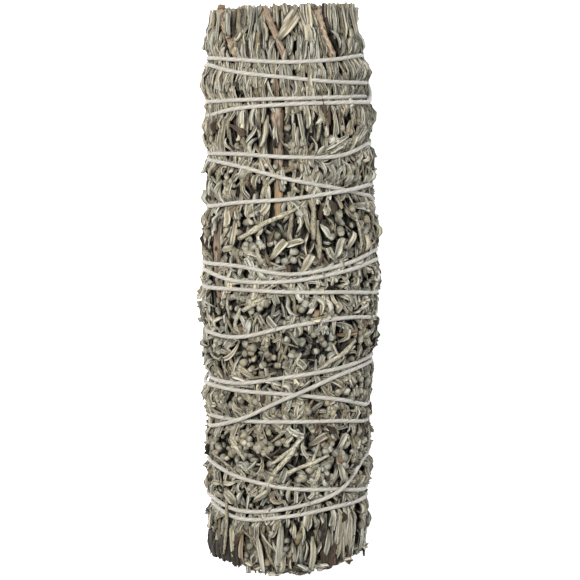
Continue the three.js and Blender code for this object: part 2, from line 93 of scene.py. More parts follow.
def on_stick(angle, y, height):
    """The point at an angle and a place along, so high over the leaf tips (negative: inside)."""
    angle, y, height = np.broadcast_arrays(angle, y, height)
    radius = reach(angle, y) + height
    turn = np.radians(angle)
    x = sideways(y) + radius * np.sin(turn)
    z = AXIS_HEIGHT + radius * np.cos(turn)
    return np.stack([x, y, z], axis=-1)


# %% Where one sprig ends and the next begins
SPRIGS = 12
FIRST_SPRIG = -8.0


def seam(index, y):
    """The angle of the wavy line where a sprig begins."""
    return FIRST_SPRIG + (index - 0.5) * 360.0 / SPRIGS + 4.5 * np.sin(y / 36.0 + index * 2.1)


def sprig_of(angle, y):
    """The sprig that holds each place."""
    turned = np.stack([(angle - seam(i, y)) % 360.0 for i in range(SPRIGS)])
    return np.argmin(turned, axis=0)


# %% [markdown]
# ## The camera and the light
#
# The photograph looks down on the stick from a little past its cut end: that end shows as a
# straight edge and the leafy end as a deep curve. A long lens keeps the sides parallel. Soft
# light from the upper left and a bright pale floor give the plain look of a studio.

# %% Camera, floor and lights
STAND_OFF = 750.0
PICTURE_WIDTH = 217.5
SENSOR_WIDTH = 36.0
LOOK_X = -0.15
PAST_THE_MIDDLE = 65.0
FLOOR_SIZE = 4.0
SKY_STRENGTH = 0.42


def aim(thing, place, target):
    """Turns a camera or a light from its place to a target, with the cut end towards the top."""
    place, target = np.array(place), np.array(target)
    back = (place - target) / np.linalg.norm(place - target)
    right = np.cross((0.0, 1.0, 0.0), back)
    right /= np.linalg.norm(right)
    top = np.cross(back, right)
    matrix = np.eye(4)
    matrix[:3, 0], matrix[:3, 1], matrix[:3, 2] = right, top, back
    matrix[:3, 3] = place * MM
    thing.matrix_world = Matrix(matrix.tolist())


camera_data = bpy.data.cameras.new("camera")
camera_data.sensor_width = SENSOR_WIDTH
camera_data.lens = SENSOR_WIDTH * STAND_OFF / PICTURE_WIDTH
camera = bpy.data.objects.new("camera", camera_data)
bpy.context.scene.collection.objects.link(camera)
aim(camera, (LOOK_X, PAST_THE_MIDDLE, AXIS_HEIGHT + STAND_OFF), (LOOK_X, 0.0, AXIS_HEIGHT))
bpy.context.scene.camera = camera
bpy.context.scene.view_settings.view_transform = "Standard"

bpy.ops.object.select_all(action="DESELECT")
bpy.ops.mesh.primitive_plane_add(size=FLOOR_SIZE, location=(0.0, 0.0, 0.0))
floor = bpy.context.object
floor.name = "floor"


def soft_light(name, place, size, power, colour):
    data = bpy.data.lights.new(name, "AREA")
    data.shape = "DISK"
    data.size = size
    data.energy = power
    data.color = colour
    light = bpy.data.objects.new(name, data)
    bpy.context.scene.collection.objects.link(light)
    aim(light, place, (0.0, 0.0, AXIS_HEIGHT))


soft_light("window light", (-330.0, 330.0, 960.0), 0.36, 16.6, (1.0, 0.985, 0.96))
soft_light("fill light", (600.0, 100.0, 800.0), 0.9, 5.5, (0.88, 0.95, 1.0))

world = bpy.data.worlds.new("studio")
bpy.context.scene.world = world
world.use_nodes = True
sky = world.node_tree.nodes["Background"]
sky.inputs["Color"].default_value = (1.0, 1.0, 1.0, 1.0)
sky.inputs["Strength"].default_value = SKY_STRENGTH
print("lens:", round(camera_data.lens, 1), "mm")

# %% [markdown]
# ## A small language for finishes
#
# A finish is a network of nodes. Written as sums and products it reads like the rule it stands
# for, so one small class wraps a node's output and lets Python's own signs add the Math nodes.


# %% Wires and finishes
class Wire:
    """One output of a node, on which sums can be done."""

    def __init__(self, finish, socket):
        self.finish = finish
        self.socket = socket

    def math(self, operation, first, second=None):
        sockets = {0: first}
        if second is not None:
            sockets[1] = second
        return self.finish.node("ShaderNodeMath", {"operation": operation}, sockets)

    def __add__(self, other):
        return self.math("ADD", self, other)

    def __sub__(self, other):
        return self.math("SUBTRACT", self, other)

    def __rsub__(self, other):
        return self.math("SUBTRACT", other, self)

    def __mul__(self, other):
        return self.math("MULTIPLY", self, other)

    __radd__ = __add__
    __rmul__ = __mul__

    def size(self):
        return self.math("ABSOLUTE", self)

    def wave(self):
        return self.math("SINE", self)

    def within(self, low, high):
        """0 below low, 1 above high, smooth between."""
        settings = {"interpolation_type": "SMOOTHSTEP"}
        sockets = {"Value": self, "From Min": low, "From Max": high}
        return self.finish.node("ShaderNodeMapRange", settings, sockets)


class Finish:
    """A material that is built node by node."""

    def __init__(self, name):
        self.material = bpy.data.materials.new(name)
        self.material.use_nodes = True
        self.tree = self.material.node_tree
        self.tree.nodes.clear()

    def node(self, kind, settings=None, sockets=None, out=0):
        made = self.tree.nodes.new(kind)
        for key, value in (settings or {}).items():
            if key == "stops":
                self.set_stops(made.color_ramp, value)
            else:
                setattr(made, key, value)
        for key, value in (sockets or {}).items():
            if isinstance(value, Wire):
                self.tree.links.new(value.socket, made.inputs[key])
            else:
                made.inputs[key].default_value = value
        return Wire(self, made.outputs[out])

    def set_stops(self, ramp, stops):
        ramp.elements[0].position = stops[0][0]
        ramp.elements[1].position = stops[-1][0]
        for place, colour in stops[1:-1]:
            ramp.elements.new(place)
        for element, (place, colour) in zip(ramp.elements, stops):
            element.color = (*colour, 1.0)

    def here(self):
        return self.node("ShaderNodeTexCoord", out="Object")

    def noise(self, scale, detail=2.0, where=None, roughness=0.5):
        sockets = {"Scale": scale, "Detail": detail, "Roughness": roughness,
                   "Vector": where or self.here()}
        return self.node("ShaderNodeTexNoise", {}, sockets)

    def parts_of(self, name):
        """The three numbers that each point of a piece carries under a name."""
        split = self.node("ShaderNodeSeparateXYZ", {}, {0: self.node(
            "ShaderNodeAttribute", {"attribute_name": name}, {}, "Vector")})
        outputs = split.socket.node.outputs
        return [Wire(self, outputs[i]) for i in range(3)]

    def joined(self, x, y, z):
        return self.node("ShaderNodeCombineXYZ", {}, {0: x, 1: y, 2: z})

    def mixed(self, amount, first, second, way="MIX"):
        settings = {"data_type": "RGBA", "blend_type": way, "clamp_factor": True}
        return self.node("ShaderNodeMix", settings, {0: amount, 6: first, 7: second}, 2)

    def layered(self, colour, layers):
        """Lays colours one over another, each with its own amount."""
        for amount, over in layers:
            colour = self.mixed(amount, colour, over)
        return colour

    def ramp(self, value, stops):
        return self.node("ShaderNodeValToRGB", {"stops": stops}, {0: value})

    def bump(self, height, strength, distance):
        return self.node("ShaderNodeBump", {}, {
            "Height": height, "Strength": strength, "Distance": distance})

    def shade(self, colour, normal, roughness, **constants):
        sockets = {"Base Color": colour, "Normal": normal, "Roughness": roughness, **constants}
        shader = self.node("ShaderNodeBsdfPrincipled", {}, sockets)
        out = self.tree.nodes.new("ShaderNodeOutputMaterial")
        self.tree.links.new(shader.socket, out.inputs["Surface"])
        return self.material


def paint(red, green, blue):
    """A screen colour, counted to 255, as the linear colour that a shader works with."""
    return tuple(((c / 255.0 + 0.055) / 1.055) ** 2.4 for c in (red, green, blue))


# %% [markdown]
# ## Finishes
#
# Dry sagebrush is grey-green under a felt of tiny hairs, which makes it matt and pale at its
# edges. Some leaves have turned tan or brown. What lies deep in the bundle is given painted shade,
# a darker colour. Every point carries six numbers. "leaf" holds its place across, its place along
# and the leaf's own tone, so veins follow the leaf and neighbours differ. "lie" holds how deep it
# is covered, whether it is a cut end and how far it faces inwards; the first and last set how much
# shade is painted. Colours are laid over each other from these.

# %% The floor's finish
plain = Finish("pale floor")
floor_colour = plain.mixed(plain.noise(18.0), (0.93, 0.93, 0.925, 1.0), (0.96, 0.96, 0.955, 1.0))
floor_bump = plain.bump(plain.noise(900.0), 0.05, 0.0004)
floor.data.materials.append(plain.shade(
    floor_colour, floor_bump, 0.8,
    **{"Emission Color": (1.0, 1.0, 1.0, 1.0), "Emission Strength": 0.55}))

# %% The leaves' finish
LEAF_TONES = [
    (0.00, paint(20, 16, 15)),
    (0.07, paint(74, 54, 43)),
    (0.12, paint(128, 106, 80)),
    (0.18, paint(96, 92, 77)),
    (0.40, paint(122, 118, 103)),
    (0.62, paint(144, 140, 124)),
    (0.82, paint(158, 154, 138)),
    (1.00, paint(184, 179, 163)),
]
COOL_TINT = (0.86, 0.93, 1.0, 1.0)
WARM_TINT = (1.12, 0.98, 0.76, 1.0)
BROWN_SPECK = (0.19, 0.165, 0.12, 1.0)
PALE_EDGE = (0.64, 0.61, 0.52, 1.0)
PALE_STREAK = (0.56, 0.53, 0.46, 1.0)
DARK_VEIN_AND_GROOVE_SHADE = (0.060, 0.050, 0.033, 1.0)
DARK_STREAK = (0.055, 0.045, 0.030, 1.0)
PAINTED_ROOT_SHADE = (0.050, 0.040, 0.028, 1.0)
PAINTED_RIM_SHADE = (0.020, 0.016, 0.011, 1.0)
PAINTED_UNDERSIDE_SHADE = (0.020, 0.016, 0.010, 1.0)
PAINTED_GAP_SHADE = (0.010, 0.008, 0.005, 1.0)


def leaf_finish(name, grooved):
    """Colours over a leaf's own tone, with painted shade at rims, roots, undersides and deep gaps.
    Buds get painted shade in the grooves along them, and leaves have veins.
    """
    leaf = Finish(name)
    across, along, tone = leaf.parts_of("leaf")
    depth, _, inside = leaf.parts_of("lie")
    fresh = tone.within(0.03, 0.20)
    speckle = leaf.noise(1500.0, 4.0, roughness=0.7)
    own = leaf.noise(1.0, 1.0, leaf.joined(tone * 370.0, 0.5, 0.5))
    streaks = leaf.noise(1.7, 3.0, leaf.joined(across * 2.6, along * 1.1, tone * 60.0), 0.6)
    if grooved:
        # painted shade in the grooves between a bud's lobes
        lines = across.within(-1.0, 0.2)
        # painted shade at a bud's far end, as a dark outline
        rim = along.within(0.72, 0.98)
        edge = along.within(0.30, 0.50) * lines * 0.2
    else:
        lines = (across * 3.2).wave().size()
        # painted shade along a leaf's two edges, as a dark outline
        rim = across.size().within(0.64, 0.90)
        edge = across.size().within(0.38, 0.56)
    colour = leaf.ramp(tone, LEAF_TONES)
    colour = leaf.mixed(leaf.noise(55.0, 3.0).within(0.42, 0.62), colour, COOL_TINT, "MULTIPLY")
    colour = leaf.mixed(own.within(0.46, 0.60) * 0.75, colour, WARM_TINT, "MULTIPLY")
    colour = leaf.layered(colour, [
        (speckle.within(0.42, 0.68) * fresh * 0.5, BROWN_SPECK),
        # dark veins on leaves; on buds, painted shade in the grooves
        ((1.0 - lines) * 0.55, DARK_VEIN_AND_GROOVE_SHADE),
        (edge * fresh * 0.36, PALE_EDGE),
        # painted shade: a dark outline round each leaf and at each bud's end
        (rim * 0.92, PAINTED_RIM_SHADE),
        # painted shade on the underside of each round piece
        (inside * 0.85, PAINTED_UNDERSIDE_SHADE),
        ((1.0 - streaks.within(0.32, 0.50)) * 0.75, DARK_STREAK),
        (streaks.within(0.52, 0.70) * fresh * 0.5, PALE_STREAK),
        # painted shade: each leaf darker at its tucked-in root
        ((1.0 - along.within(0.0, 0.3)) * 0.4, PAINTED_ROOT_SHADE),
        # painted shade: darker the deeper a point lies under its neighbours
        (depth * 0.93, PAINTED_GAP_SHADE),
    ])
    height = leaf.noise(3200.0, 3.0) * 0.5 + lines * 0.8 + streaks * 0.8
    return leaf.shade(colour, leaf.bump(height, 0.55, 0.00035), 0.92 - speckle * 0.12,
                      **{"Sheen Weight": 0.05, "Sheen Roughness": 0.5, "Specular IOR Level": 0.15})


sage_leaf = leaf_finish("sage leaf", grooved=False)
sage_bud = leaf_finish("sage bud", grooved=True)

# %% The bark's finish
BARK_TONES = [
    (0.00, paint(50, 40, 34)),
    (0.30, paint(96, 80, 68)),
    (0.60, paint(134, 118, 102)),
    (0.85, paint(162, 143, 120)),
    (1.00, paint(188, 161, 128)),
]
TWIG_TONES = [
    (0.00, paint(60, 44, 34)),
    (0.15, paint(118, 88, 62)),
    (0.30, paint(122, 112, 90)),
    (0.70, paint(156, 149, 126)),
    (1.00, paint(190, 184, 163)),
]
PEELED_WOOD = (0.27, 0.175, 0.10, 1.0)
DARK_CRACK = (0.035, 0.026, 0.019, 1.0)
CUT_WOOD = (0.33, 0.23, 0.13, 1.0)
WOOD_RING = (0.17, 0.115, 0.065, 1.0)
PAINTED_TWIG_UNDERSIDE_SHADE = (0.025, 0.018, 0.012, 1.0)
PAINTED_TWIG_GAP_SHADE = (0.010, 0.007, 0.005, 1.0)


def bark_finish(name, tones, bareness):
    """Furrowed bark that has peeled in places, with rings of wood on its cut ends."""
    bark = Finish(name)
    across, along, tone = bark.parts_of("leaf")
    depth, cut, inside = bark.parts_of("lie")
    down_the_stem = bark.joined(across * 3.6, along * 13.0, tone * 40.0)
    strands = bark.noise(1.0, 4.0, down_the_stem, 0.7)
    peeled = bark.noise(0.45, 3.0, down_the_stem).within(0.54, 0.62)
    cracks = bark.noise(1.7, 3.0, down_the_stem, 0.6).within(0.38, 0.50)
    rings = (bark.noise(1800.0, 2.0) * 9.0 + across * 14.0).wave()
    value = tone * 0.55 + strands * 1.1 + bark.noise(160.0, 3.0) * 0.45 - 0.55
    colour = bark.layered(bark.ramp(value, tones), [
        (peeled * bareness, PEELED_WOOD),
        ((1.0 - cracks) * 0.75, DARK_CRACK),
        (cut, bark.mixed(rings * 0.3 + 0.3, CUT_WOOD, WOOD_RING)),
        # painted shade on the underside of each twig
        (inside * 0.7, PAINTED_TWIG_UNDERSIDE_SHADE),
        # painted shade: twigs and stems darker the deeper they lie
        (depth * 0.92, PAINTED_TWIG_GAP_SHADE),
    ])
    height = strands * 0.9 + peeled * -0.5 + cracks * 0.6
    return bark.shade(colour, bark.bump(height, 0.7, 0.0005), 0.85 - strands * 0.1,
                      **{"Specular IOR Level": 0.3})


sage_bark = bark_finish("sage bark", BARK_TONES, 0.55)
sage_twig = bark_finish("sage twig", TWIG_TONES, 0.12)

# %% The string's finish
COTTON_IN_GROOVE_SHADE = (0.285, 0.268, 0.232, 1.0)
PLY_COTTON = (0.365, 0.345, 0.305, 1.0)
DUSTY_COTTON = (0.25, 0.232, 0.196, 1.0)
cotton = Finish("cotton string")
ply_place, along_string, _ = cotton.parts_of("leaf")
# painted shade: the cotton is darker in the grooves between the plies
string_colour = cotton.layered(COTTON_IN_GROOVE_SHADE, [
    (ply_place.within(0.1, 0.75), PLY_COTTON),
    (cotton.noise(150.0, 3.0).within(0.40, 0.70) * 0.55, DUSTY_COTTON),
])
twist_lines = (along_string * 3.0).wave() * 0.5 + 0.5
string_height = cotton.noise(5200.0, 3.0) * 0.5 + twist_lines * 0.3
cotton_string = cotton.shade(string_colour, cotton.bump(string_height, 0.4, 0.0002), 0.9,
                             **{"Sheen Weight": 0.25, "Specular IOR Level": 0.2})
print("finishes:", [m.name for m in bpy.data.materials])

# %% [markdown]
# ## Shapes that repeat
#
# A dried sagebrush leaf is a narrow strip, rolled along its middle, with a blunt tip or three
# teeth. Each kind is modelled once: a four-cornered ring is drawn out along the leaf, widened and
# thinned step by step, and closed at the tip. Each has a few dozen faces, because there are
# thousands of copies. Its length runs from 0 to 1, and it is later bent along its own path.


# %% Draw a shape out ring by ring
def upright_disk(corners, fill="NGON"):
    """Adds a disk square to a shape's length, ready to be drawn out."""
    bpy.ops.object.select_all(action="DESELECT")
    bpy.ops.mesh.primitive_circle_add(
        vertices=corners, radius=1.0, fill_type=fill, rotation=(math.pi / 2.0, 0.0, 0.0))
    bpy.ops.object.transform_apply(location=False, rotation=True, scale=False)
    bpy.ops.object.mode_set(mode="EDIT")
    bpy.ops.mesh.select_all(action="SELECT")


def draw_out(step):
    bpy.ops.mesh.extrude_region_move(TRANSFORM_OT_translate={"value": step})


def draw_out_evenly(rings):
    for _ in range(rings):
        draw_out((0.0, 1.0 / rings, 0.0))


def take(name):
    """Reads the modelled shape's points and triangles, and puts the shape itself away."""
    bpy.ops.mesh.select_all(action="SELECT")
    bpy.ops.mesh.remove_doubles(threshold=1e-5)
    bpy.ops.mesh.normals_make_consistent(inside=False)
    bpy.ops.mesh.quads_convert_to_tris(quad_method="BEAUTY", ngon_method="BEAUTY")
    bpy.ops.object.mode_set(mode="OBJECT")
    made = bpy.context.object
    points = np.array([v.co[:] for v in made.data.vertices])
    faces = np.array([p.vertices[:] for p in made.data.polygons])
    bpy.data.objects.remove(made)
    print(name, "has", len(faces), "faces")
    return {"points": points, "faces": faces}


def drawn_out(name, rings, corners=4, lifted_sides=0.0, sharp=False, lobes=0.0):
    """Rings of (along, half width, half thickness, to the side, lift), the first one closed.

    A sharp shape keeps the edges along its corners, and lobes swell it in three.
    """
    upright_disk(corners)
    along, width, thickness, side, lift = rings[0]
    bpy.ops.transform.resize(value=(width, 1.0, thickness), center_override=(0.0, 0.0, 0.0))
    bpy.ops.transform.translate(value=(side, along, lift))
    for before, ring in zip(rings, rings[1:]):
        draw_out((ring[3] - before[3], ring[0] - before[0], ring[4] - before[4]))
        grow = (ring[1] / before[1], 1.0, ring[2] / before[2])
        bpy.ops.transform.resize(value=grow, center_override=(ring[3], ring[0], ring[4]))
    shape = take(name)
    points = shape["points"]
    places, sides, lifts = np.array(rings, dtype=float)[:-1, [0, 3, 4]].T
    side = np.interp(points[:, 1], places, sides)
    lift = np.interp(points[:, 1], places, lifts)
    turn = np.arctan2(points[:, 2] - lift, points[:, 0] - side)
    shape["across"] = np.clip(points[:, 0], -1.0, 1.0)
    shape["round"] = 0.0 if sharp else 1.0
    if sharp:
        shape["corner"] = np.round(turn / (math.pi / 2.0)).astype(int) % 4 + 1
    if lobes:
        wave = np.cos(3.0 * turn)
        shape["across"] = wave
        points[:, 0] = side + (points[:, 0] - side) * (1.0 + lobes * wave)
        points[:, 2] = lift + (points[:, 2] - lift) * (1.0 + lobes * wave)
    points[:, 2] += lifted_sides * np.abs(points[:, 0])
    return shape


LEAF_SHAPES = [
    drawn_out("narrow leaf", [
        (0, 0.34, 0.5, 0, 0), (0.16, 0.56, 0.8, 0.08, 0.6), (0.38, 0.92, 0.9, -0.12, 0.9),
        (0.6, 1, 0.9, 0.1, 0.4), (0.82, 0.84, 0.8, 0, 0), (0.95, 0.56, 0.6, -0.1, -0.3),
        (1, 0.22, 0.3, -0.1, -0.5)], sharp=True),
    drawn_out("rolled leaf", [
        (0, 0.38, 0.5, 0, 0), (0.17, 0.66, 0.6, 0, 0.3), (0.4, 0.95, 0.55, 0.16, 0.5),
        (0.62, 1, 0.55, -0.1, 0), (0.84, 0.86, 0.5, 0.05, 0.2), (0.95, 0.66, 0.4, 0.2, 1),
        (1, 0.36, 0.25, 0.25, 1.6)], lifted_sides=2.4, sharp=True),
    drawn_out("ridged leaf", [
        (0, 0.38, 0.5, 0, 0), (0.17, 0.6, 0.6, -0.1, 0), (0.42, 0.94, 0.55, -0.1, 0.6),
        (0.66, 1, 0.55, 0.14, 0.9), (0.86, 0.8, 0.5, 0, 0.3), (0.96, 0.55, 0.4, -0.1, -0.8),
        (1, 0.26, 0.25, -0.14, -1.4)], lifted_sides=-2.2, sharp=True),
    drawn_out("blunt leaf", [
        (0, 0.36, 0.6, 0, 0), (0.2, 0.5, 0.7, 0.1, 0), (0.45, 0.72, 0.7, 0.12, 0.5),
        (0.7, 0.96, 0.65, -0.12, 0.3), (0.88, 1, 0.6, 0, 0), (0.97, 0.88, 0.5, 0.1, 0.4),
        (1, 0.6, 0.3, 0.14, 0.6)], lifted_sides=1.4, sharp=True),
    drawn_out("curled leaf", [
        (0, 0.42, 0.5, 0, 0), (0.2, 0.74, 0.6, 0.1, 1.6), (0.46, 1, 0.6, -0.1, 3.2),
        (0.7, 0.96, 0.55, 0.1, 3), (0.88, 0.78, 0.5, 0, 1.2), (0.94, 0.6, 0.4, -0.1, -0.8),
        (0.86, 0.4, 0.3, -0.1, -2)], lifted_sides=-1.8, sharp=True),
    drawn_out("short leaf", [
        (0, 0.5, 0.6, 0, 0), (0.3, 0.95, 0.8, 0.1, 0.5), (0.68, 1, 0.8, -0.1, 0.4),
        (0.93, 0.66, 0.6, 0, 0), (1, 0.28, 0.3, 0.1, -0.3)], lifted_sides=1.4, sharp=True),
    drawn_out("inner leaf", [
        (0, 0.5, 0.7, 0, 0), (0.35, 1, 0.9, 0.1, 0.2), (0.8, 0.85, 0.8, -0.1, 0),
        (1, 0.3, 0.4, 0, 0)]),
    drawn_out("chopped strip", [
        (0, 0.8, 0.7, 0, 0), (0.2, 0.92, 0.8, 0.06, 0.2), (0.45, 1, 0.8, -0.08, 0.3),
        (0.7, 0.94, 0.8, 0.08, 0), (0.88, 0.98, 0.8, 0, 0), (1, 0.92, 0.75, -0.05, 0)],
        lifted_sides=0.5, sharp=True),
]
NARROW, ROLLED, RIDGED, BLUNT, CURLED, SHORT, INNER, CHOPPED, TOOTHED = range(9)

# %% Round things: buds
BUD_SHAPES = [
    drawn_out("round bud", [
        (0, 0.4, 0.4, 0, 0), (0.16, 0.88, 0.88, 0, 0), (0.45, 1, 1, 0.04, 0),
        (0.76, 0.84, 0.86, 0, 0.05), (0.95, 0.44, 0.46, 0, 0.05), (0.88, 0.14, 0.14, 0, 0.05)],
        corners=6, lobes=0.2),
    drawn_out("pointed bud", [
        (0, 0.34, 0.34, 0, 0), (0.14, 0.8, 0.78, 0, 0), (0.38, 1, 0.96, 0, 0),
        (0.66, 0.76, 0.74, 0.06, 0), (0.88, 0.4, 0.4, 0.1, 0.05), (1, 0.1, 0.1, 0.12, 0.1)],
        corners=6, lobes=0.24),
    drawn_out("open bud", [
        (0, 0.36, 0.36, 0, 0), (0.25, 0.84, 0.84, 0, 0), (0.6, 1, 1, 0, 0),
        (0.95, 0.88, 0.9, 0, 0), (1, 0.62, 0.62, 0, 0), (0.72, 0.36, 0.36, 0, 0)],
        corners=6, lobes=0.3),
]

# %% Long things: twigs, chips of bark
TWIG_SHAPES = [
    drawn_out("twig", [
        (0, 0.9, 0.9, 0, 0), (0.16, 0.84, 0.84, 0.3, 0), (0.3, 1.15, 1.1, 0.1, 0.1),
        (0.46, 0.8, 0.8, -0.25, 0), (0.62, 0.78, 0.78, 0, 0.1), (0.76, 1, 0.95, 0.2, 0),
        (0.9, 0.7, 0.7, 0.05, 0), (1, 0.6, 0.6, 0.1, 0)], corners=5),
    drawn_out("flat strip of bark", [
        (0, 0.5, 0.6, 0.1, 0), (0.12, 0.9, 0.8, 0, 0), (0.4, 1, 0.8, 0.1, 0),
        (0.7, 0.85, 0.8, -0.1, 0), (0.9, 0.7, 0.7, 0, 0), (1, 0.3, 0.5, 0.15, 0)],
        lifted_sides=-0.6),
]


# %% [markdown]
# The leaf with three teeth gives sagebrush its name. Its flat outline is drawn first, and a wall
# of leaf thickness is added with Solidify.

# %% The leaf with three teeth
def toothed_leaf():
    bpy.ops.object.select_all(action="DESELECT")
    outline = [(0.22, 0.0), (0.30, 0.3), (0.55, 0.58), (0.95, 0.82), (1.0, 0.97), (0.62, 0.88),
               (0.32, 1.0), (0.0, 1.0), (-0.34, 0.98), (-0.6, 0.86), (-1.0, 0.93), (-0.92, 0.78),
               (-0.5, 0.55), (-0.28, 0.3), (-0.2, 0.0)]
    bpy.ops.mesh.primitive_circle_add(vertices=len(outline), radius=1.0, fill_type="TRIFAN")
    made = bpy.context.object
    rim = [v for v in made.data.vertices if v.co.length > 0.5]
    rim.sort(key=lambda v: math.atan2(v.co.y, v.co.x))
    order = sorted(outline, key=lambda p: math.atan2(p[1] - 0.55, p[0]))
    for vertex, (x, y) in zip(rim, order):
        vertex.co = (x, y, 0.5 * abs(x))
    for vertex in made.data.vertices:
        if vertex not in rim:
            vertex.co = (0.0, 0.6, 0.0)
    wall = made.modifiers.new("thickness", "SOLIDIFY")
    wall.thickness = 0.9
    wall.offset = 0.0
    bpy.ops.object.modifier_apply(modifier="thickness")
    bpy.ops.object.mode_set(mode="EDIT")
    shape = take("three-toothed leaf")
    shape["across"] = shape["points"][:, 0].copy()
    shape["round"] = 0.0
    return shape


LEAF_SHAPES.append(toothed_leaf())

# %% [markdown]
# ## Where the string runs
#
# The string goes once round for each turn, down the stick and back up again, so its turns cross.
# The leaves have to know it before they are laid, because it presses them down. The route is the
# one that the string's solid follows.

# %% The string's route
STRING_RADIUS = 0.85
STRING_DEPTH = 0.5
LEAST_CLEARANCE = 0.9
FRONT = [-72, -36, 0, 36, 72]
TURNS = [
    [86.5, 85.5, 84.5, 85.5, 87.5, 215],
    [84, 81, 79, 77.5, 77.5, 240],
    [70.5, 71, 71.5, 72, 72.5, 118],
    [49, 47, 42.5, 39, 36, 105],
    [11, 11, 8.5, 11.5, 15.5, 240],
    [2, 2.5, 2, 1.5, 0, 125],
    [-32, -32, -29, -26.5, -24, 238],
    [-34.2, -34.8, -35.5, -38, -42, 130],
    [-46, -46, -45.5, -46, -48, 112],
    [-63.5, -67, -70, -71.5, -74, 235],
    [-79.5, -82.5, -80.5, -78, -77.5, 225],
    [-77, -79.5, -77.5, -72.5, -61.5, 118],
    [-50, -45.5, -36.5, -29.2, -26.2, 228],
    [-14.5, -15, -10.5, -8, -9, 110],
    [8.2, 5.5, 6, 9, 12, 232],
    [32, 34, 35.5, 38, 40, 120],
    [51.5, 51.5, 50.5, 50.8, 55, 235],
    [65.5, 68, 69.4, 70, 70.3, 105],
]
KNOT_ANGLE, KNOT_Y = 122.0, 81.6
LAST = len(TURNS) - 1
STRING_START = KNOT_ANGLE - 360.0
STRING_END = LAST * 360.0 + KNOT_ANGLE


def soft_step(value, low, high):
    """The smooth step for one number, which is much quicker."""
    t = min(max((value - low) / (high - low), 0.0), 1.0)
    return t * t * (3.0 - 2.0 * t)


def front_y(turn, angle):
    """A curve through the five places that a turn has on the side that is seen."""
    at = min(max((angle - FRONT[0]) / (FRONT[1] - FRONT[0]), 0.0), 4.0)
    i = min(int(at), 3)
    t = at - i
    row = TURNS[turn]
    p0, p1, p2, p3 = row[max(i - 1, 0)], row[i], row[i + 1], row[min(i + 2, 4)]
    bend = 2 * p0 - 5 * p1 + 4 * p2 - p3
    return 0.5 * (2 * p1 + (p2 - p0) * t + bend * t * t + (3 * p1 - p0 - 3 * p2 + p3) * t ** 3)


def string_y(travel):
    """The string's place along the stick, after so many degrees round it."""
    if travel < FRONT[0]:
        return KNOT_Y + (TURNS[0][0] - KNOT_Y) * soft_step(travel, STRING_START, FRONT[0])
    turn = min(int((travel - FRONT[0]) // 360), LAST)
    angle = travel - turn * 360
    if angle <= FRONT[4]:
        return front_y(turn, angle)
    here = TURNS[turn][4]
    if turn == LAST:
        return here + (KNOT_Y - here) * soft_step(angle, FRONT[4], KNOT_ANGLE)
    moved = soft_step(angle, TURNS[turn][5] - 36, TURNS[turn][5] + 36)
    return here + (TURNS[turn + 1][0] - here) * moved


# %% Where turns cross, the later one rises over the earlier one
OVER, UNDER = 0.95, 1.15
CROSSING_SPAN = 40


def crossing_lift(travel):
    lift = 0.0
    y = string_y(travel)
    for lap in range(-1, LAST + 2):
        other = travel % 360 + 360.0 * lap
        if other < STRING_START or other > STRING_END or abs(other - travel) < 1:
            continue
        sides = []
        for shift in (-CROSSING_SPAN, 0, CROSSING_SPAN):
            a = min(max(travel + shift, STRING_START), STRING_END)
            b = min(max(other + shift, STRING_START), STRING_END)
            sides.append(np.sign(string_y(a) - string_y(b)))
        if sides[0] == sides[1] == sides[2]:
            continue
        near = 1.0 - soft_step(abs(y - string_y(other)), 2.2, 4.2)
        amount = OVER * near if other < travel else -UNDER * near
        if abs(amount) > abs(lift):
            lift = amount
    return lift


ROUTE_STEP = 4.0
travels = np.arange(STRING_START, STRING_END + 0.01, ROUTE_STEP)
route_y = np.array([string_y(t) for t in travels])
route_lift = np.array([crossing_lift(t) for t in travels])
route_lift = np.convolve(np.pad(route_lift, 3, mode="edge"), np.ones(7) / 7.0, mode="valid")
route_height = route_lift - STRING_DEPTH
route_points = on_stick(travels, route_y, route_height)
route_points[:, 2] = np.maximum(route_points[:, 2], STRING_RADIUS + LEAST_CLEARANCE)
string_length = np.linalg.norm(np.diff(route_points, axis=0), axis=1).sum()
print("string:", len(travels), "places,", round(string_length), "mm long")

# %% [markdown]
# ## The ground that leaves are laid on
#
# Leaves can't be scattered at one height, or they would cut through each other. A map of the
# stick's surface keeps the height reached so far. Each new leaf is laid on what is under it,
# tucked in at its root and a little free at its tip, and the map rises there. A second map says
# how high a leaf may stand beside and under the string, and a third where a bare stem shows.

# %% Three maps of the surface
ANGLE_STEP = 1.5
Y_STEP = 0.8
Y_LOW = -112.0
Y_SPAN = 224.0
ROUND = int(360 / ANGLE_STEP)
ALONG = int(Y_SPAN / Y_STEP)
INNER_FLOOR = -4.4
USUAL_CEILING = 0.5
PRESSED_ASIDE = np.arange(-3.2, 3.3, 0.4)
ground = np.full((ROUND, ALONG), INNER_FLOOR)
ceiling = np.full((ROUND, ALONG), USUAL_CEILING)
bare = np.zeros((ROUND, ALONG))


def cells(angle, y):
    """The places in the maps that hold these angles and places along."""
    i = np.round(np.asarray(angle) / ANGLE_STEP).astype(int) % ROUND
    j = np.clip(np.round((np.asarray(y) - Y_LOW) / Y_STEP).astype(int), 0, ALONG - 1)
    return i, j


for travel, y, height in zip(travels, route_y, route_height):
    for aside in PRESSED_ASIDE:
        i, j = cells([travel, travel + ROUTE_STEP / 2.0], y + aside)
        edge = height - 0.95 + 1.7 * soft_step(abs(aside), 0.6, 2.6)
        ceiling[i, j] = np.minimum(ceiling[i, j], edge)

# %% [markdown]
# ## Woody stems
#
# The stems are dug in at most places and come to the surface here and there. One rod with many
# rings is modelled once. Each stem is a copy, led along its own way, thinning towards the leaves,
# with furrowed bark and a pale cut or broken end.

# %% The stems' ways
FURROW_ROOM = 0.6

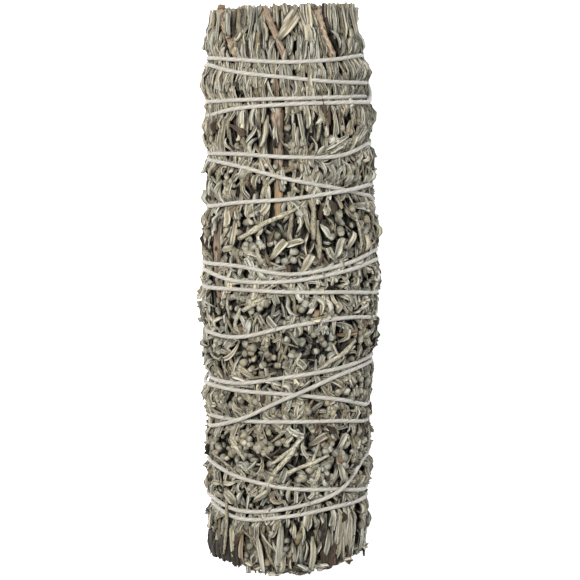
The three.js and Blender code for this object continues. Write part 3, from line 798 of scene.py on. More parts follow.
# Each has a radius, a way of (place along, angle, depth) from the cut end, and a tone.
STEMS = [
    (1.5, [[103.2, -77, 1], [94, -52, 1], [86, -41, 1.2], [70, -38, 6], [30, -40, 9]], 1.0),
    (1.2, [[104.4, -17, 1], [86, 0, 1.2], [70, 8, 6], [20, 12, 9]], 0.8),
    (1.6, [[103.2, 29, 1], [94, 34, 1], [86, 41, 1.2], [72, 46, 6], [20, 50, 9]], 0.95),
    (1.4, [[105.8, 66, 1], [98, 73, 1.5], [84, 76, 7], [-60, 70, 7], [-78, 62, 1.2],
           [-101, 60, 1]], 0.25),
    (2.1, [[104.5, -9, 9], [84, -9, 7], [69, -8, 1.2], [50, -8, 1.2], [28, -8, 1.4]], 0.66),
    (1.7, [[105.5, -60, 9], [50, -64, 8], [32, -65, 1.2], [0, -59, 1.2], [-16, -58, 7]], 0.5),
    (1.8, [[106.5, 98, 1.5], [80, 104, 2], [60, 108, 7], [-45, 110, 9]], 0.6),
    (1.5, [[105.5, 140, 3], [60, 136, 8], [30, 132, 1.5], [-14, 126, 1.5], [-30, 124, 8]], 0.5),
    (1.6, [[107, 172, 6], [40, 170, 9], [-55, 172, 9]], 0.6),
    (2.0, [[106.8, 205, 5], [30, 203, 9], [-50, 200, 9]], 0.5),
    (1.7, [[105.5, 236, 2], [80, 232, 3], [60, 230, 8], [-20, 232, 8], [-48, 236, 2.4],
           [-74, 240, 2.6]], 0.7),
    (1.5, [[106.5, 262, 1.5], [84, 258, 2], [62, 254, 8], [-40, 256, 9]], 0.4),
]
CORE_STEM = (2.6, [[105.5, 0, 30.6], [50, 0, 31.8], [-50, 0, 31.8]], 0.5)


def smooth_way(points, count):
    """A smooth line through points, by the square roots of their distances."""
    points = np.asarray(points, dtype=float)
    first = 2.0 * points[0] - points[1]
    last = 2.0 * points[-1] - points[-2]
    line = np.vstack([first, points, last])
    knots = np.concatenate([[0.0], np.cumsum(np.sqrt(np.linalg.norm(np.diff(line, axis=0), axis=1)))])
    made = []
    for t in np.linspace(knots[1], knots[-2] - 1e-9, count):
        i = min(max(int(np.searchsorted(knots, t, side="right")) - 1, 1), len(line) - 3)
        a = [line[i - 1 + k] for k in range(4)]
        s = knots[i - 1:i + 3]
        b1 = [(s[k + 1] - t) / (s[k + 1] - s[k]) * a[k] + (t - s[k]) / (s[k + 1] - s[k]) * a[k + 1]
              for k in range(3)]
        b2 = [(s[k + 2] - t) / (s[k + 2] - s[k]) * b1[k] + (t - s[k]) / (s[k + 2] - s[k]) * b1[k + 1]
              for k in range(2)]
        made.append((s[2] - t) / (s[2] - s[1]) * b2[0] + (t - s[1]) / (s[2] - s[1]) * b2[1])
    return np.array(made)


def stem_line(stem, count):
    radius, way, _ = stem
    return smooth_way([on_stick(a, y, -(d + radius + FURROW_ROOM)) for y, a, d in way], count)


# %% One rod with many rings
ROD_RINGS = 72
ROD_CORNERS = 14
upright_disk(ROD_CORNERS)
bpy.ops.mesh.inset(thickness=0.12, depth=0.0)
bpy.ops.mesh.select_all(action="SELECT")
draw_out_evenly(ROD_RINGS)
ROD = take("rod")
print("rod rings along:", len(np.unique(np.round(ROD["points"][:, 1], 4))))

# %% [markdown]
# ## From shapes to pieces
#
# A pile collects copies of shapes and writes them as one mesh, with the numbers that the finish
# reads at each point.

# %% Write a pile of copies as one piece
def write_piece(name, blocks, material, nodes):
    """One mesh from many copies, which takes the place of the solids at these nodes."""
    points, faces, leaf, lie, corner = [], [], [], [], []
    count = 0
    for block in blocks:
        copies, corners = block["points"].shape[:2]
        points.append(block["points"].reshape(-1, 3))
        shift = count + corners * np.arange(copies)[:, None, None]
        faces.append((block["faces"][None] + shift).reshape(-1, 3))
        leaf.append(block["leaf"].reshape(-1, 3))
        lie.append(block["lie"].reshape(-1, 3))
        corner.append(np.tile(block.get("corner", np.zeros(corners, dtype=int)), copies))
        count += copies * corners
    points = np.concatenate(points) * MM
    faces = np.concatenate(faces)
    mesh = bpy.data.meshes.new(name)
    mesh.vertices.add(len(points))
    mesh.vertices.foreach_set("co", points.astype(np.float32).ravel())
    mesh.loops.add(faces.size)
    mesh.loops.foreach_set("vertex_index", faces.astype(np.int32).ravel())
    mesh.polygons.add(len(faces))
    mesh.polygons.foreach_set("loop_start", np.arange(0, faces.size, 3, dtype=np.int32))
    mesh.update(calc_edges=True)
    mesh.polygons.foreach_set("use_smooth", np.ones(len(faces), dtype=bool))
    corner = np.concatenate(corner)
    ends = np.empty(2 * len(mesh.edges), dtype=np.int32)
    mesh.edges.foreach_get("vertices", ends)
    first, second = ends.reshape(-1, 2).T
    crease = mesh.attributes.new("sharp_edge", "BOOLEAN", "EDGE")
    crease.data.foreach_set("value", (corner[first] == corner[second]) & (corner[first] > 0))
    for key, values in (("leaf", leaf), ("lie", lie)):
        layer = mesh.attributes.new(key, "FLOAT_VECTOR", "POINT")
        layer.data.foreach_set("vector", np.concatenate(values).astype(np.float32).ravel())
    mesh.materials.append(material)
    piece = bpy.data.objects.new(name, mesh)
    bpy.context.scene.collection.objects.link(piece)
    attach(piece, "root")
    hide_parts(*nodes)
    print(name, len(faces), "faces")


# %% Lead a rod along each stem's way
def side_and_up(line):
    """Two directions square to a line at each of its points, without a sudden turn."""
    ahead = np.gradient(line, axis=0)
    ahead /= np.linalg.norm(ahead, axis=1)[:, None]
    up = np.zeros_like(line)
    now = np.cross([1.0, 0.0, 0.0], ahead[0])
    for i, way in enumerate(ahead):
        now = now - way * now.dot(way)
        now /= np.linalg.norm(now)
        up[i] = now
    return np.cross(ahead, up), up, ahead


FURROWS = ((3, 0.07), (5, 0.06), (7, 0.05))
KNOTS = 5
ALL_BARK = 0.99


def stem_block(stem, seed, bare_from=ALL_BARK):
    """A rod led along a stem's way, with furrows and knots. Past bare_from it has lost its bark."""
    radius, _, tone = stem
    random = np.random.default_rng(seed)
    line = stem_line(stem, ROD_RINGS + 1)
    side, up, ahead = side_and_up(line)
    rod_points = ROD["points"]
    ring = np.round(rod_points[:, 1] * ROD_RINGS).astype(int)
    turn = np.arctan2(rod_points[:, 2], rod_points[:, 0])
    out = np.hypot(rod_points[:, 0], rod_points[:, 2])
    u = ring / ROD_RINGS
    thick = radius * (1.12 - 0.35 * u)
    furrows = np.zeros(len(rod_points))
    for k, size in FURROWS:
        shift, twist = random.uniform(0.0, 6.0), random.uniform(-3.0, 3.0)
        furrows += size * np.sin(k * turn + shift + twist * u * 4.0)
    knots_at = random.uniform(0.1, 0.9, KNOTS)
    for place, where in zip(knots_at, random.uniform(-3.0, 3.0, KNOTS)):
        near = np.exp(-((u - place) / 0.012) ** 2) * (0.5 + 0.5 * np.cos(turn - where))
        furrows += 0.35 * near
    furrows += random.normal(0.0, 0.06, len(rod_points))
    spread = thick * (1.0 + furrows) * out
    spread *= np.where((ring == 0) | (ring == ROD_RINGS), 0.93, 1.0)
    points = line[ring] + side[ring] * (spread * np.cos(turn))[:, None]
    points += up[ring] * (spread * np.sin(turn))[:, None]
    ragged = np.where(ring == 0, random.uniform(-0.35, 0.1, len(rod_points)), 0.0)
    ragged += np.where(ring == ROD_RINGS, random.uniform(-1.0, 1.4, len(rod_points)), 0.0)
    points += ahead[ring] * ragged[:, None]
    ends = ((ring == 0) | (u > bare_from + random.uniform(0.0, 0.03, len(u)))).astype(float)
    height = np.hypot(points[:, 0] - sideways(points[:, 1]), points[:, 2] - AXIS_HEIGHT)
    around = np.degrees(np.arctan2(points[:, 0] - sideways(points[:, 1]), points[:, 2] - AXIS_HEIGHT))
    # painted shade: how deep a stem lies under the leaves, less near the cut end
    deep = smooth_step(reach(around, points[:, 1]) - height, 1.5, 9.0)
    deep *= 1.0 - 0.75 * smooth_step(points[:, 1], 92.0, 101.0)
    leaf = np.stack([np.cos(turn) * out, u, np.full(len(u), tone)], axis=-1)
    lie = np.stack([deep, ends, np.zeros(len(u))], axis=-1)
    return {"points": points[None], "faces": ROD["faces"], "leaf": leaf[None], "lie": lie[None]}


BROKEN_STEM = 5
BROKEN_FROM = 0.86
for number, stem in enumerate(STEMS, 1):
    bare_from = BROKEN_FROM if number == BROKEN_STEM else ALL_BARK
    write_piece(f"bark_stem_{number:02d}", [stem_block(stem, 400 + number, bare_from)], sage_bark,
                [f"stem_{number:02d}"])
write_piece("bark_core_stem", [stem_block(CORE_STEM, 399)], sage_bark, ["core_stem"])

# %% Note where bare stems show
SHOWS_ABOVE = -2.4
BARE_WIDTH = 1.25
for stem in STEMS:
    radius = stem[0]
    line = stem_line(stem, 400)
    across = line[:, 0] - sideways(line[:, 1])
    over = line[:, 2] - AXIS_HEIGHT
    angle = np.degrees(np.arctan2(across, over))
    top = np.hypot(across, over) + radius - reach(angle, line[:, 1])
    for a, y, height in zip(angle, line[:, 1], top):
        if height < SHOWS_ABOVE:
            continue
        wide = np.degrees(radius * BARE_WIDTH / MEAN_GIRTH)
        i, j = cells(np.linspace(a - wide, a + wide, 5), y)
        bare[i, j] = 1.0
        ground[i, j] = np.maximum(ground[i, j], height)

# %% [markdown]
# ## Laying leaves
#
# Each leaf starts at a place, heads in a direction, bends a little, and rests on the ground map.
# A straight leaf can't follow every dent, so its line is the smoothest one that lies on what is
# under it. Under the string it is pressed down. It is left out if it would end past the bundle,
# hide a bare stem or stand higher than its layer.

# %% Lay one thing on the ground
LONGEST = 107.6
OPEN_CEILING = 0.3
BARE_SHARE = 0.2
COVERED = -3.6


def from_top(angle):
    return (angle + 180.0) % 360.0 - 180.0


def upper(angle):
    return max(math.cos(math.radians(angle)), 0.0)


def cut_end(angle):
    return LONGEST - 1.5 * upper(angle) - 2.0 * soft_step(-from_top(angle), 14.0, 50.0)


def leafy_end(angle):
    return -LONGEST + 4.2 * upper(angle) + 6.0 * soft_step(abs(from_top(angle) + 6.0), 12.0, 75.0)


STATIONS = 7
ALONG_U = np.linspace(0.0, 1.0, STATIONS)
FITTING = np.stack([np.ones(STATIONS), ALONG_U, ALONG_U ** 2], axis=1)
SOLVE = np.linalg.pinv(FITTING)
SIDES = np.array([-0.4, 0.0, 0.4])
FINE_U = np.linspace(0.02, 0.98, 22)
FINE_SIDES = np.linspace(-0.5, 0.5, 5)
laid = {}


def led(angle, y, length, u, aside, turn, curl, sine, cosine):
    """Angles and places along for points at a share of the length and a distance aside."""
    s = u * length
    sway = 0.5 * curl * (s * s / length - s)
    local = turn + curl * (u - 0.5)
    over = s * sine + sway * cosine + aside * np.cos(local)
    ahead = s * cosine - sway * sine - aside * np.sin(local)
    return angle + np.degrees(over / girth(y)), y + ahead


def path(angle, y, heading, length, bend, u, aside):
    """The same for one thing that starts at a place, with its heading and bend in degrees."""
    turn = math.radians(heading)
    return led(angle, y, length, u, aside, turn, math.radians(bend), math.sin(turn), math.cos(turn))


def lay(kind, angle, y, heading, length, width, thick, random, *, bend=0.0, tuck=0.5, lift=0.4,
        rise=0.0, roll=0.0, tone=0.5, stiff=0.65, over_string=False, limit=math.inf, flat_at=None,
        above=0.0):
    """Lays one copy of a shape and raises the ground under it.

    Its root is tucked in, its tip lifted, and all of it may rise. A stiff one rests on the highest
    of what is under it. flat_at gives it a height of its own, and above lets it pass the ceiling.
    """
    angles, ys = path(angle, y, heading, length, bend, ALONG_U[:, None], SIDES[None] * width)
    if ys.max() > cut_end(angle) or ys.min() < leafy_end(angle):
        return
    i, j = cells(angles, ys)
    under = ground[i, j]
    outside = flat_at is None or flat_at > COVERED
    if outside and not over_string and bare[i[:, 1], j[:, 1]].mean() > BARE_SHARE:
        return
    if flat_at is None:
        top = under.max(axis=1)
        fit = FITTING @ (SOLVE @ top)
        heights = fit + np.quantile(top - fit, stiff)
        heights += rise + 0.25 * thick - tuck * np.exp(-6.0 * ALONG_U) + lift * ALONG_U ** 3
    else:
        heights = np.full(STATIONS, flat_at) + lift * ALONG_U ** 2
    if not over_string:
        room = ceiling[i, j].min(axis=1)
        room = np.where(room > OPEN_CEILING, room + above, room)
        heights = np.minimum(heights, room - 0.35 * thick)
    if heights.mean() > limit:
        return
    slope = float(np.clip((under[:, 2] - under[:, 0]).mean() / (0.8 * width), -0.5, 0.5))
    laid.setdefault(kind, []).append((
        angle, y, heading, length, width, thick, bend, roll + math.atan(slope), tone,
        random.uniform(-0.5, 0.5), *heights))
    i, j = cells(*path(angle, y, heading, length, bend, FINE_U[:, None], FINE_SIDES[None] * width))
    level = np.interp(FINE_U, ALONG_U, heights)[:, None] + 0.3 * thick
    np.maximum.at(ground, (i, j), level)


# %% [markdown]
# ## How the bundle is filled
#
# Near the cut end the leaves and strips lie along the stick. Further down they are crumpled every
# way, with spikes of flower buds between them, and near the leafy end they lie along it again.
# Layers are laid one over another, and one of them goes only where there are still hollows.

# %% What grows where
STRAIGHT_ABOVE, SLANTING_ABOVE = 58.0, 22.0
CRUMPLED_ABOVE, STRAIGHT_BELOW = -76.0, -84.0
BUDS_LOW, BUDS_MOST, BUDS_HIGH = -92.0, -50.0, 30.0


def heading_at(y, random):
    """The way a leaf points, in degrees from the cut end's direction."""
    back = 180.0 if random.random() < 0.7 else 0.0
    if y > STRAIGHT_ABOVE:
        return back + random.normal(0.0, 11.0)
    if y > SLANTING_ABOVE:
        return back + random.normal(0.0, 27.0)
    if y > CRUMPLED_ABOVE:
        return back + random.normal(0.0, 58.0)
    return 180.0 + random.normal(0.0, 20.0)


def combed(y):
    """Whether the leaves lie along the stick there."""
    return y > STRAIGHT_ABOVE or y < STRAIGHT_BELOW


def bend_at(y, random):
    return random.normal(0.0, 26.0 if combed(y) else 62.0)


def tone_at(angle, y, random):
    """Mostly grey-green, some brown. Paler on the left as painted light, paler in the middle, darker
    further down.
    """
    if random.random() < 0.07:
        return random.uniform(0.0, 0.15)
    # painted light: leaves on the left side are made a little paler, as the light falls from the left
    lean = 0.03 * math.sin(math.radians(angle + 180.0))
    low = -0.12 * soft_step(-y, 50.0, 95.0) - 0.11 * math.exp(-((y + 46.0) / 24.0) ** 2)
    low += 0.19 * math.exp(-((y - 8.0) / 24.0) ** 2)
    patch = 0.08 * math.sin(angle * 0.11 + y * 0.13) + 0.06 * math.sin(angle * 0.05 - y * 0.31)
    return float(np.clip(random.normal(0.55 + lean + low + patch, 0.19), 0.17, 1.0))


def pick(options, random):
    return options[int(random.integers(0, len(options)))]


KIND_SHARES = [(NARROW, 0.20), (ROLLED, 0.22), (RIDGED, 0.20), (BLUNT, 0.14), (CURLED, 0.14),
               (TOOTHED, 0.10)]


def leaf_kind(random):
    draw = random.random()
    for kind, share in KIND_SHARES:
        draw -= share
        if draw < 0.0:
            return kind
    return NARROW


# %% The dark under-layer
random = np.random.default_rng(20)
for _ in range(2600):
    angle = random.uniform(0.0, 360.0)
    y = random.uniform(TIP_Y + 4.0, BUTT_Y - 4.0)
    lay(("leaf", INNER), angle, y, heading_at(y, random), random.uniform(7.0, 14.0),
        random.uniform(1.5, 2.8), 0.55, random, bend=bend_at(y, random),
        roll=random.normal(0.0, 0.35), tone=tone_at(angle, y, random), tuck=0.2, limit=-1.7)
print("after the under-layer the ground lies at", round(float(ground.mean()), 2))


# %% Spikes of buds
BUD_KINDS = range(len(BUD_SHAPES))


def bud_spike(angle, y, heading, count, random, limit):
    """A short stalk with buds close together round it."""
    length = 2.0 * count + 2.0
    tone = max(tone_at(angle, y, random), 0.3 if random.random() < 0.93 else 0.1)
    bend = random.normal(0.0, 25.0)
    lay(("twig", 0), angle, y, heading, length, 0.65, 0.65, random, bend=bend, tone=0.6, tuck=0.2,
        limit=limit)
    for k in range(count):
        u = (k + 0.5) / count
        size = random.uniform(2.4, 3.6) * (1.0 - 0.25 * u)
        a, b = path(angle, y, heading, length, bend, u, random.choice([-1.0, 1.0]) * size * 0.42)
        lean = random.normal(0.0, 35.0)
        lay(("bud", pick(BUD_KINDS, random)), float(a), float(b), heading + lean, size * 1.15,
            size, size * 0.9, random, tone=float(np.clip(tone + random.normal(0.0, 0.11), 0.1, 0.66)),
            tuck=0.3, lift=0.0, rise=size * 0.16, stiff=0.45, limit=limit)


random = np.random.default_rng(31)
for n in range(230):
    angle = random.uniform(0.0, 360.0)
    y = random.triangular(BUDS_LOW, BUDS_MOST, BUDS_HIGH) if n % 5 else random.uniform(20.0, 90.0)
    heading = random.normal(180.0, 50.0)
    bud_spike(angle, y, heading, int(random.integers(3, 8)), random, -0.9)


# %% The upper layers
NEARLY_FULL = -0.55


def leafy_layer(count, seed, shortest, longest, limit, fine=False, sparser=0.0, plump=1.0,
                hollow=None):
    """A layer of leaves. It can be sparser among the buds, or go only where it is hollow."""
    random = np.random.default_rng(seed)
    for _ in range(count):
        y = random.uniform(TIP_Y + 2.0, BUTT_Y - 3.0)
        angle = random.uniform(0.0, 360.0)
        i, j = cells([angle, angle + 4.0], [y, y - 4.0])
        if hollow is not None and ground[i, j].mean() > hollow:
            continue
        if ground[i, j].mean() > NEARLY_FULL and random.random() < 0.6:
            continue
        length = random.uniform(shortest, longest) * (1.3 if combed(y) else 0.85)
        width = random.uniform(1.0, 2.1) if combed(y) else random.uniform(1.3, 2.8)
        kind = leaf_kind(random)
        if BUDS_LOW < y < BUDS_HIGH and not fine and random.random() < sparser:
            continue
        if fine:
            kind = SHORT if random.random() < 0.7 else NARROW
            width = random.uniform(0.8, 1.7)
        elif random.random() < 0.06:
            width *= 1.6
        lay(("leaf", kind), angle, y, heading_at(y, random), length, width,
            random.uniform(0.6, 1.15) * plump, random, bend=bend_at(y, random),
            lift=random.uniform(-0.1, 0.8), roll=random.normal(0.0, 0.5),
            tone=tone_at(angle, y, random), limit=limit)


leafy_layer(1900, 41, 7.0, 13.0, -1.0)
print("after the first upper layer the ground lies at", round(float(ground.mean()), 2))

# %% Woody strips towards the cut end
random = np.random.default_rng(47)
for _ in range(230):
    y = random.uniform(24.0, BUTT_Y - 4.0)
    woody = random.random() < 0.4
    lay(("twig", 0) if woody else ("leaf", CHOPPED), random.uniform(0.0, 360.0), y,
        180.0 + random.normal(0.0, 11.0), random.uniform(9.0, 20.0), random.uniform(1.3, 2.7),
        1.3 if woody else 0.8, random, bend=random.normal(0.0, 16.0), lift=0.3,
        tone=random.uniform(0.12, 0.85), limit=-0.6)

# %% Twigs among the leaves
random = np.random.default_rng(52)
for _ in range(420):
    y = random.uniform(TIP_Y + 6.0, BUTT_Y - 6.0)
    angle = random.uniform(0.0, 360.0)
    thick = random.uniform(0.8, 1.8)
    lay(("twig", 0), angle, y, heading_at(y, random), random.uniform(7.0, 17.0), thick, thick,
        random, bend=random.normal(0.0, 55.0), tone=random.uniform(0.1, 1.0), lift=0.3, limit=-0.5)
for _ in range(90):
    y = random.uniform(TIP_Y + 6.0, BUTT_Y - 6.0)
    angle = random.uniform(0.0, 360.0)
    lay(("twig", 1), angle, y, heading_at(y, random), random.uniform(5.0, 14.0),
        random.uniform(1.4, 2.6), 0.5, random, bend=random.normal(0.0, 15.0),
        tone=random.uniform(0.3, 1.0), limit=-0.4)

leafy_layer(1600, 74, 6.0, 11.0, -0.25, plump=1.5)

random = np.random.default_rng(63)
for n in range(310):
    angle = random.uniform(0.0, 360.0)
    y = random.triangular(BUDS_LOW, BUDS_MOST, 36.0) if n % 8 else random.uniform(20.0, 80.0)
    heading = random.normal(180.0, 60.0)
    bud_spike(angle, y, heading, int(random.integers(2, 8)), random, -0.1)

leafy_layer(7000, 52, 4.5, 9.0, -0.3, plump=1.3, hollow=-1.3)
leafy_layer(900, 85, 5.0, 9.0, 0.0, sparser=0.5, plump=1.6)
leafy_layer(1200, 88, 2.5, 5.5, -0.1, fine=True, plump=1.2)

# %% [markdown]
# ## What the photograph shows clearly
#
# A few larger things catch the eye: a bare stem with a torn end, slanting twigs, broad grey
# leaves, dead brown ones and the dark ones at the leafy end. Each is laid where it is seen, after
# the layers, and may stand a little above them. In four places many alike lie close together.

# %% Larger twigs and leaves, laid where they are seen
random = np.random.default_rng(104)
TWIG_PALENESS = 1.5

# Angle, place along, heading, length, width, bend, tone.
SLANTING_TWIGS = [
    (-34, 21, 63, 25.5, 2.1, 8, 0.75), (14, -27.5, 58, 21, 2, -24, 0.72),
    (-36, -15.4, 12, 11.5, 1.8, 34, 0.8), (-30, -5, 70, 17.5, 1.9, 42, 0.8),
    (-26, -16, 20, 10, 1.2, 24, 0.7), (-17, -17, -8, 10, 1.2, -30, 0.7),
    (-10, -15, -28, 10, 1.1, 20, 0.66), (-21, 18, 152, 12, 1.7, -34, 0.72),
    (-12, 9, 118, 13, 1.6, -62, 0.72), (-2, -33, 22, 14, 1.5, 14, 0.7),
    (6, -27, -70, 6, 1.5, 10, 0.66), (-23, -73, 37, 27, 2.4, -14, 0.85),
    (-14, -68, 66, 24.5, 2, 10, 0.8), (-12, -61, 50, 15, 1.5, -16, 0.85),
    (-30, -60, -38, 19, 1.6, 8, 0.75), (-36, -55, -34, 18, 1.4, 12, 0.7),
    (17, -75, 10, 13, 2.2, 6, 0.85), (-20, 17, 150, 16, 1.1, -70, 0.6), (-6, 45, 75, 9, 1.3, 10, 0.12),
    (2, 42, 96, 8, 1.2, -20, 0.2), (-58, -60, 128, 22, 1, 22, 0.8), (24, -45, 196, 18, 1.2, 12, 0.7),
    (46, 30, 170, 15, 1.1, 16, 0.65), (-50, 8, 160, 17, 1.2, 20, 0.6),
]
for angle, y, heading, length, width, bend, tone in SLANTING_TWIGS:
    lay(("twig", 0), angle, y, heading, length, width, width, random, bend=bend,
        tone=tone * TWIG_PALENESS, rise=0.5, tuck=0.3, lift=0.2, stiff=0.9, above=1.1)

# Shape, angle, place along, heading, length, width, bend, tone.
BROAD_LEAVES = [
    (BLUNT, -4, 92.5, 36, 12.5, 5.4, 6, 0.42), (CURLED, -15, 101.5, 176, 9, 3.4, 20, 0.04),
    (CHOPPED, 37, 97, 4, 9, 2.6, 0, 0.02), (TOOTHED, -43, 62, 118, 8, 3, 30, 0.06),
    (BLUNT, -12, 14, 38, 8.5, 3.6, 8, 0.5), (BLUNT, 46, 33, 100, 8.5, 3.8, 10, 0.48),
    (BLUNT, 6, 8.5, 30, 8, 3.4, -20, 0.55), (ROLLED, 28, 14, 24, 8, 3, 14, 0.62),
    (BLUNT, -40, -38, 150, 8, 3.2, 10, 0.5), (ROLLED, 36, -62, 160, 9, 3.2, -20, 0.7),
    (BLUNT, 14, -54, 60, 7, 3, 8, 0.16), (ROLLED, -2, -62, 200, 6.5, 3, 12, 0.4),
    (NARROW, -43, -84, 176, 16, 2.6, 6, 0.8), (RIDGED, -5, -82, 184, 21, 3.2, 8, 0.85),
    (NARROW, 17, -88, 178, 15, 2.6, 6, 0.8), (RIDGED, 40, -84, 184, 17, 2.6, -6, 0.8),
    (NARROW, -22, -87, 172, 15, 2.4, 14, 0.75), (RIDGED, 60, -82, 178, 17, 2.4, 4, 0.7),
    (NARROW, 29, -86, 186, 15, 2.2, 8, 0.35), (BLUNT, -33, -88, 184, 12, 2.8, 4, 0.13),
]
for kind, angle, y, heading, length, width, bend, tone in BROAD_LEAVES:
    lay(("leaf", kind), angle, y, heading, length, width, 1.2, random, bend=bend, tone=tone,
        rise=0.4, tuck=0.2, lift=0.3, stiff=0.85, above=1.0)

# Count, shape, angles, places along, heading and its spread, lengths, widths, thickness, spread of
# the bend, tones, rise, how far above the ceiling. A pair of equal tones or no spread draws nothing.
PATCHES = [
    (30, CHOPPED, (-84, -38), (-95, -89), (180, 8), (4.5, 8), (2, 3.4), 1.6, 0, (0, 0), 0.4, 0.8),
    (14, CHOPPED, (24, 44), (-96, -91), (180, 10), (4.5, 7), (1.8, 2.6), 1, 0, (0, 0.07), 0.2, 0),
    (26, NARROW, (38, 84), (-86, -72), (180, 4), (13, 19), (1.5, 2.2), 0.9, 0, (0.5, 0.9), 0.2, 0),
    (16, ROLLED, (16, 58), (48, 55), (66, 9), (8, 13), (1.5, 2.3), 0.6, 12, (0.4, 0.8), 0.2, 0),
]
for count, kind, angles, ys, heading, lengths, widths, thick, curl, tones, rise, above in PATCHES:
    for _ in range(count):
        place = random.uniform(*angles), random.uniform(*ys), random.normal(*heading)
        size = random.uniform(*lengths), random.uniform(*widths), thick
        bend = random.normal(0.0, curl) if curl else 0.0
        tone = random.uniform(*tones) if tones[0] < tones[1] else tones[0]
        lay(("leaf", kind), *place, *size, random, bend=bend, tone=tone, rise=rise, above=above)

# %% Two things that lie over the string
lay(("leaf", RIDGED), -24.0, -75.5, 52.0, 7.5, 2.6, 0.8, random, tone=0.45, rise=0.9, tuck=0.8,
    over_string=True)
lay(("twig", 0), -48.0, -76.0, 178.0, 20.0, 1.5, 1.3, random, bend=8.0, tone=0.7, rise=0.5, tuck=0.4,
    over_string=True)
print("at last the ground lies at", round(float(ground.mean()), 2))

# %% [markdown]
# ## The two ends
#
# At the cut end the stems and strips were chopped off nearly square, so many small cut ends show
# at slightly different lengths. At the leafy end the tips run out unevenly, longest in the middle,
# and leaves and buds lie across its face at all slopes.

# %% Fill the ends
random = np.random.default_rng(96)
CUT_KINDS = [CHOPPED, CHOPPED, CHOPPED, BLUNT, RIDGED, ROLLED]
LEAFY_END_KINDS = [NARROW, ROLLED, CURLED, TOOTHED, CHOPPED, RIDGED]
FACE_DEPTH = 28.0


def face_place(random):
    """A depth and an angle, spread evenly over the face of an end."""
    deep = FACE_DEPTH * (1.0 - math.sqrt(random.uniform(0.0, 1.0)))
    return deep, random.uniform(0.0, 360.0)


def cut_piece(angle, deep, end, random):
    """One strip or stem that ends at the cut, so deep inside the bundle."""
    length = random.uniform(7.0, 16.0)
    woody = random.random() < 0.32
    kind = ("twig", 0) if woody else ("leaf", pick(CUT_KINDS, random))
    width = random.uniform(0.9, 2.2) if woody else random.uniform(1.2, 2.9)
    lay(kind, angle, end - length, random.normal(0.0, 12.0), length, width,
        width * 0.9 if woody else random.uniform(0.8, 1.5), random, bend=random.normal(0.0, 26.0),
        roll=random.normal(0.0, 0.5 if deep < 3.0 else 1.2), lift=random.uniform(-0.7, 0.5),
        tone=random.uniform(0.18, 0.85), flat_at=-0.5 - deep)


for _ in range(950):
    deep, angle = face_place(random)
    cut_piece(angle, 2.0 + deep, random.uniform(101.5, 106.3), random)
for deep in (3.2, 2.0, 0.9, 0.1):
    for angle in np.arange(0.0, 360.0, 4.6):
        end = cut_end(angle) - random.uniform(0.1, 2.2)
        cut_piece(angle + random.uniform(-2.0, 2.0), deep + random.uniform(-0.3, 0.3), end, random)
for _ in range(820):
    deep, angle = face_place(random)
    end = leafy_end(angle) + 0.3 + 9.0 * random.uniform(0.0, 1.0) ** 1.5
    length = random.uniform(8.0, 16.0)
    woody = random.random() < 0.34
    kind = ("twig", 0) if woody else ("leaf", pick(LEAFY_END_KINDS, random))
    width = random.uniform(1.0, 2.4) if woody else random.uniform(1.6, 3.4)
    lay(kind, angle, end + length, 180.0 + random.normal(0.0, 9.0), length, width,
        width * 0.9 if woody else 0.8, random, bend=random.normal(0.0, 26.0),
        roll=random.uniform(-1.5, 1.5), lift=random.uniform(-1.4, 0.8),
        tone=tone_at(angle, -60.0, random) + 0.05, flat_at=-0.4 - deep)
for n in range(1500):
    deep, angle = face_place(random)
    y = leafy_end(angle) + random.uniform(1.2, 6.0)
    if n % 4:
        lay(("leaf", pick(LEAFY_END_KINDS, random)), angle, y,
            random.choice([-90.0, 90.0]) + random.normal(0.0, 26.0), random.uniform(4.5, 9.0),
            random.uniform(1.8, 3.0), 0.8, random, bend=random.normal(0.0, 25.0),
            roll=random.uniform(0.9, 2.0), lift=random.uniform(-9.0, 8.0),
            tone=tone_at(angle, 0.0, random), flat_at=-0.8 - deep)
    else:
        size = random.uniform(2.4, 3.4)
        lay(("bud", pick(BUD_KINDS, random)), angle, y + 1.6, 180.0 + random.normal(0.0, 30.0),
            size * 1.15, size, size, random, tone=random.uniform(0.35, 0.6), flat_at=-1.4 - deep)

# %% [markdown]
# ## How deep everything lies
#
# What lies under its neighbours gets little light, so shade is painted on it as a darker colour.
# The finished ground map, softened over a millimetre or two, tells each point how far it is covered.

# %% Soften the ground map
cover = ground.copy()
for _ in range(2):
    beside = np.roll(cover, 1, axis=0) + np.roll(cover, -1, axis=0)
    padded = np.pad(cover, ((0, 0), (1, 1)), mode="edge")
    cover = (2.0 * cover + beside + padded[:, :-2] + padded[:, 2:]) / 6.0
print("covered between", round(float(cover.min()), 2), "and", round(float(cover.max()), 2))

# %% [markdown]
# ## Bend every copy along its own path
#
# All copies of one shape are worked out together. A point's place along the shape tells how far
# along the path it sits, its place across goes to the side, and its thickness goes outwards. Near
# the ends the cover darkens less, because light also comes in from there.


# %% Turn what was laid into blocks of points
LEAST_HEIGHT = 0.15


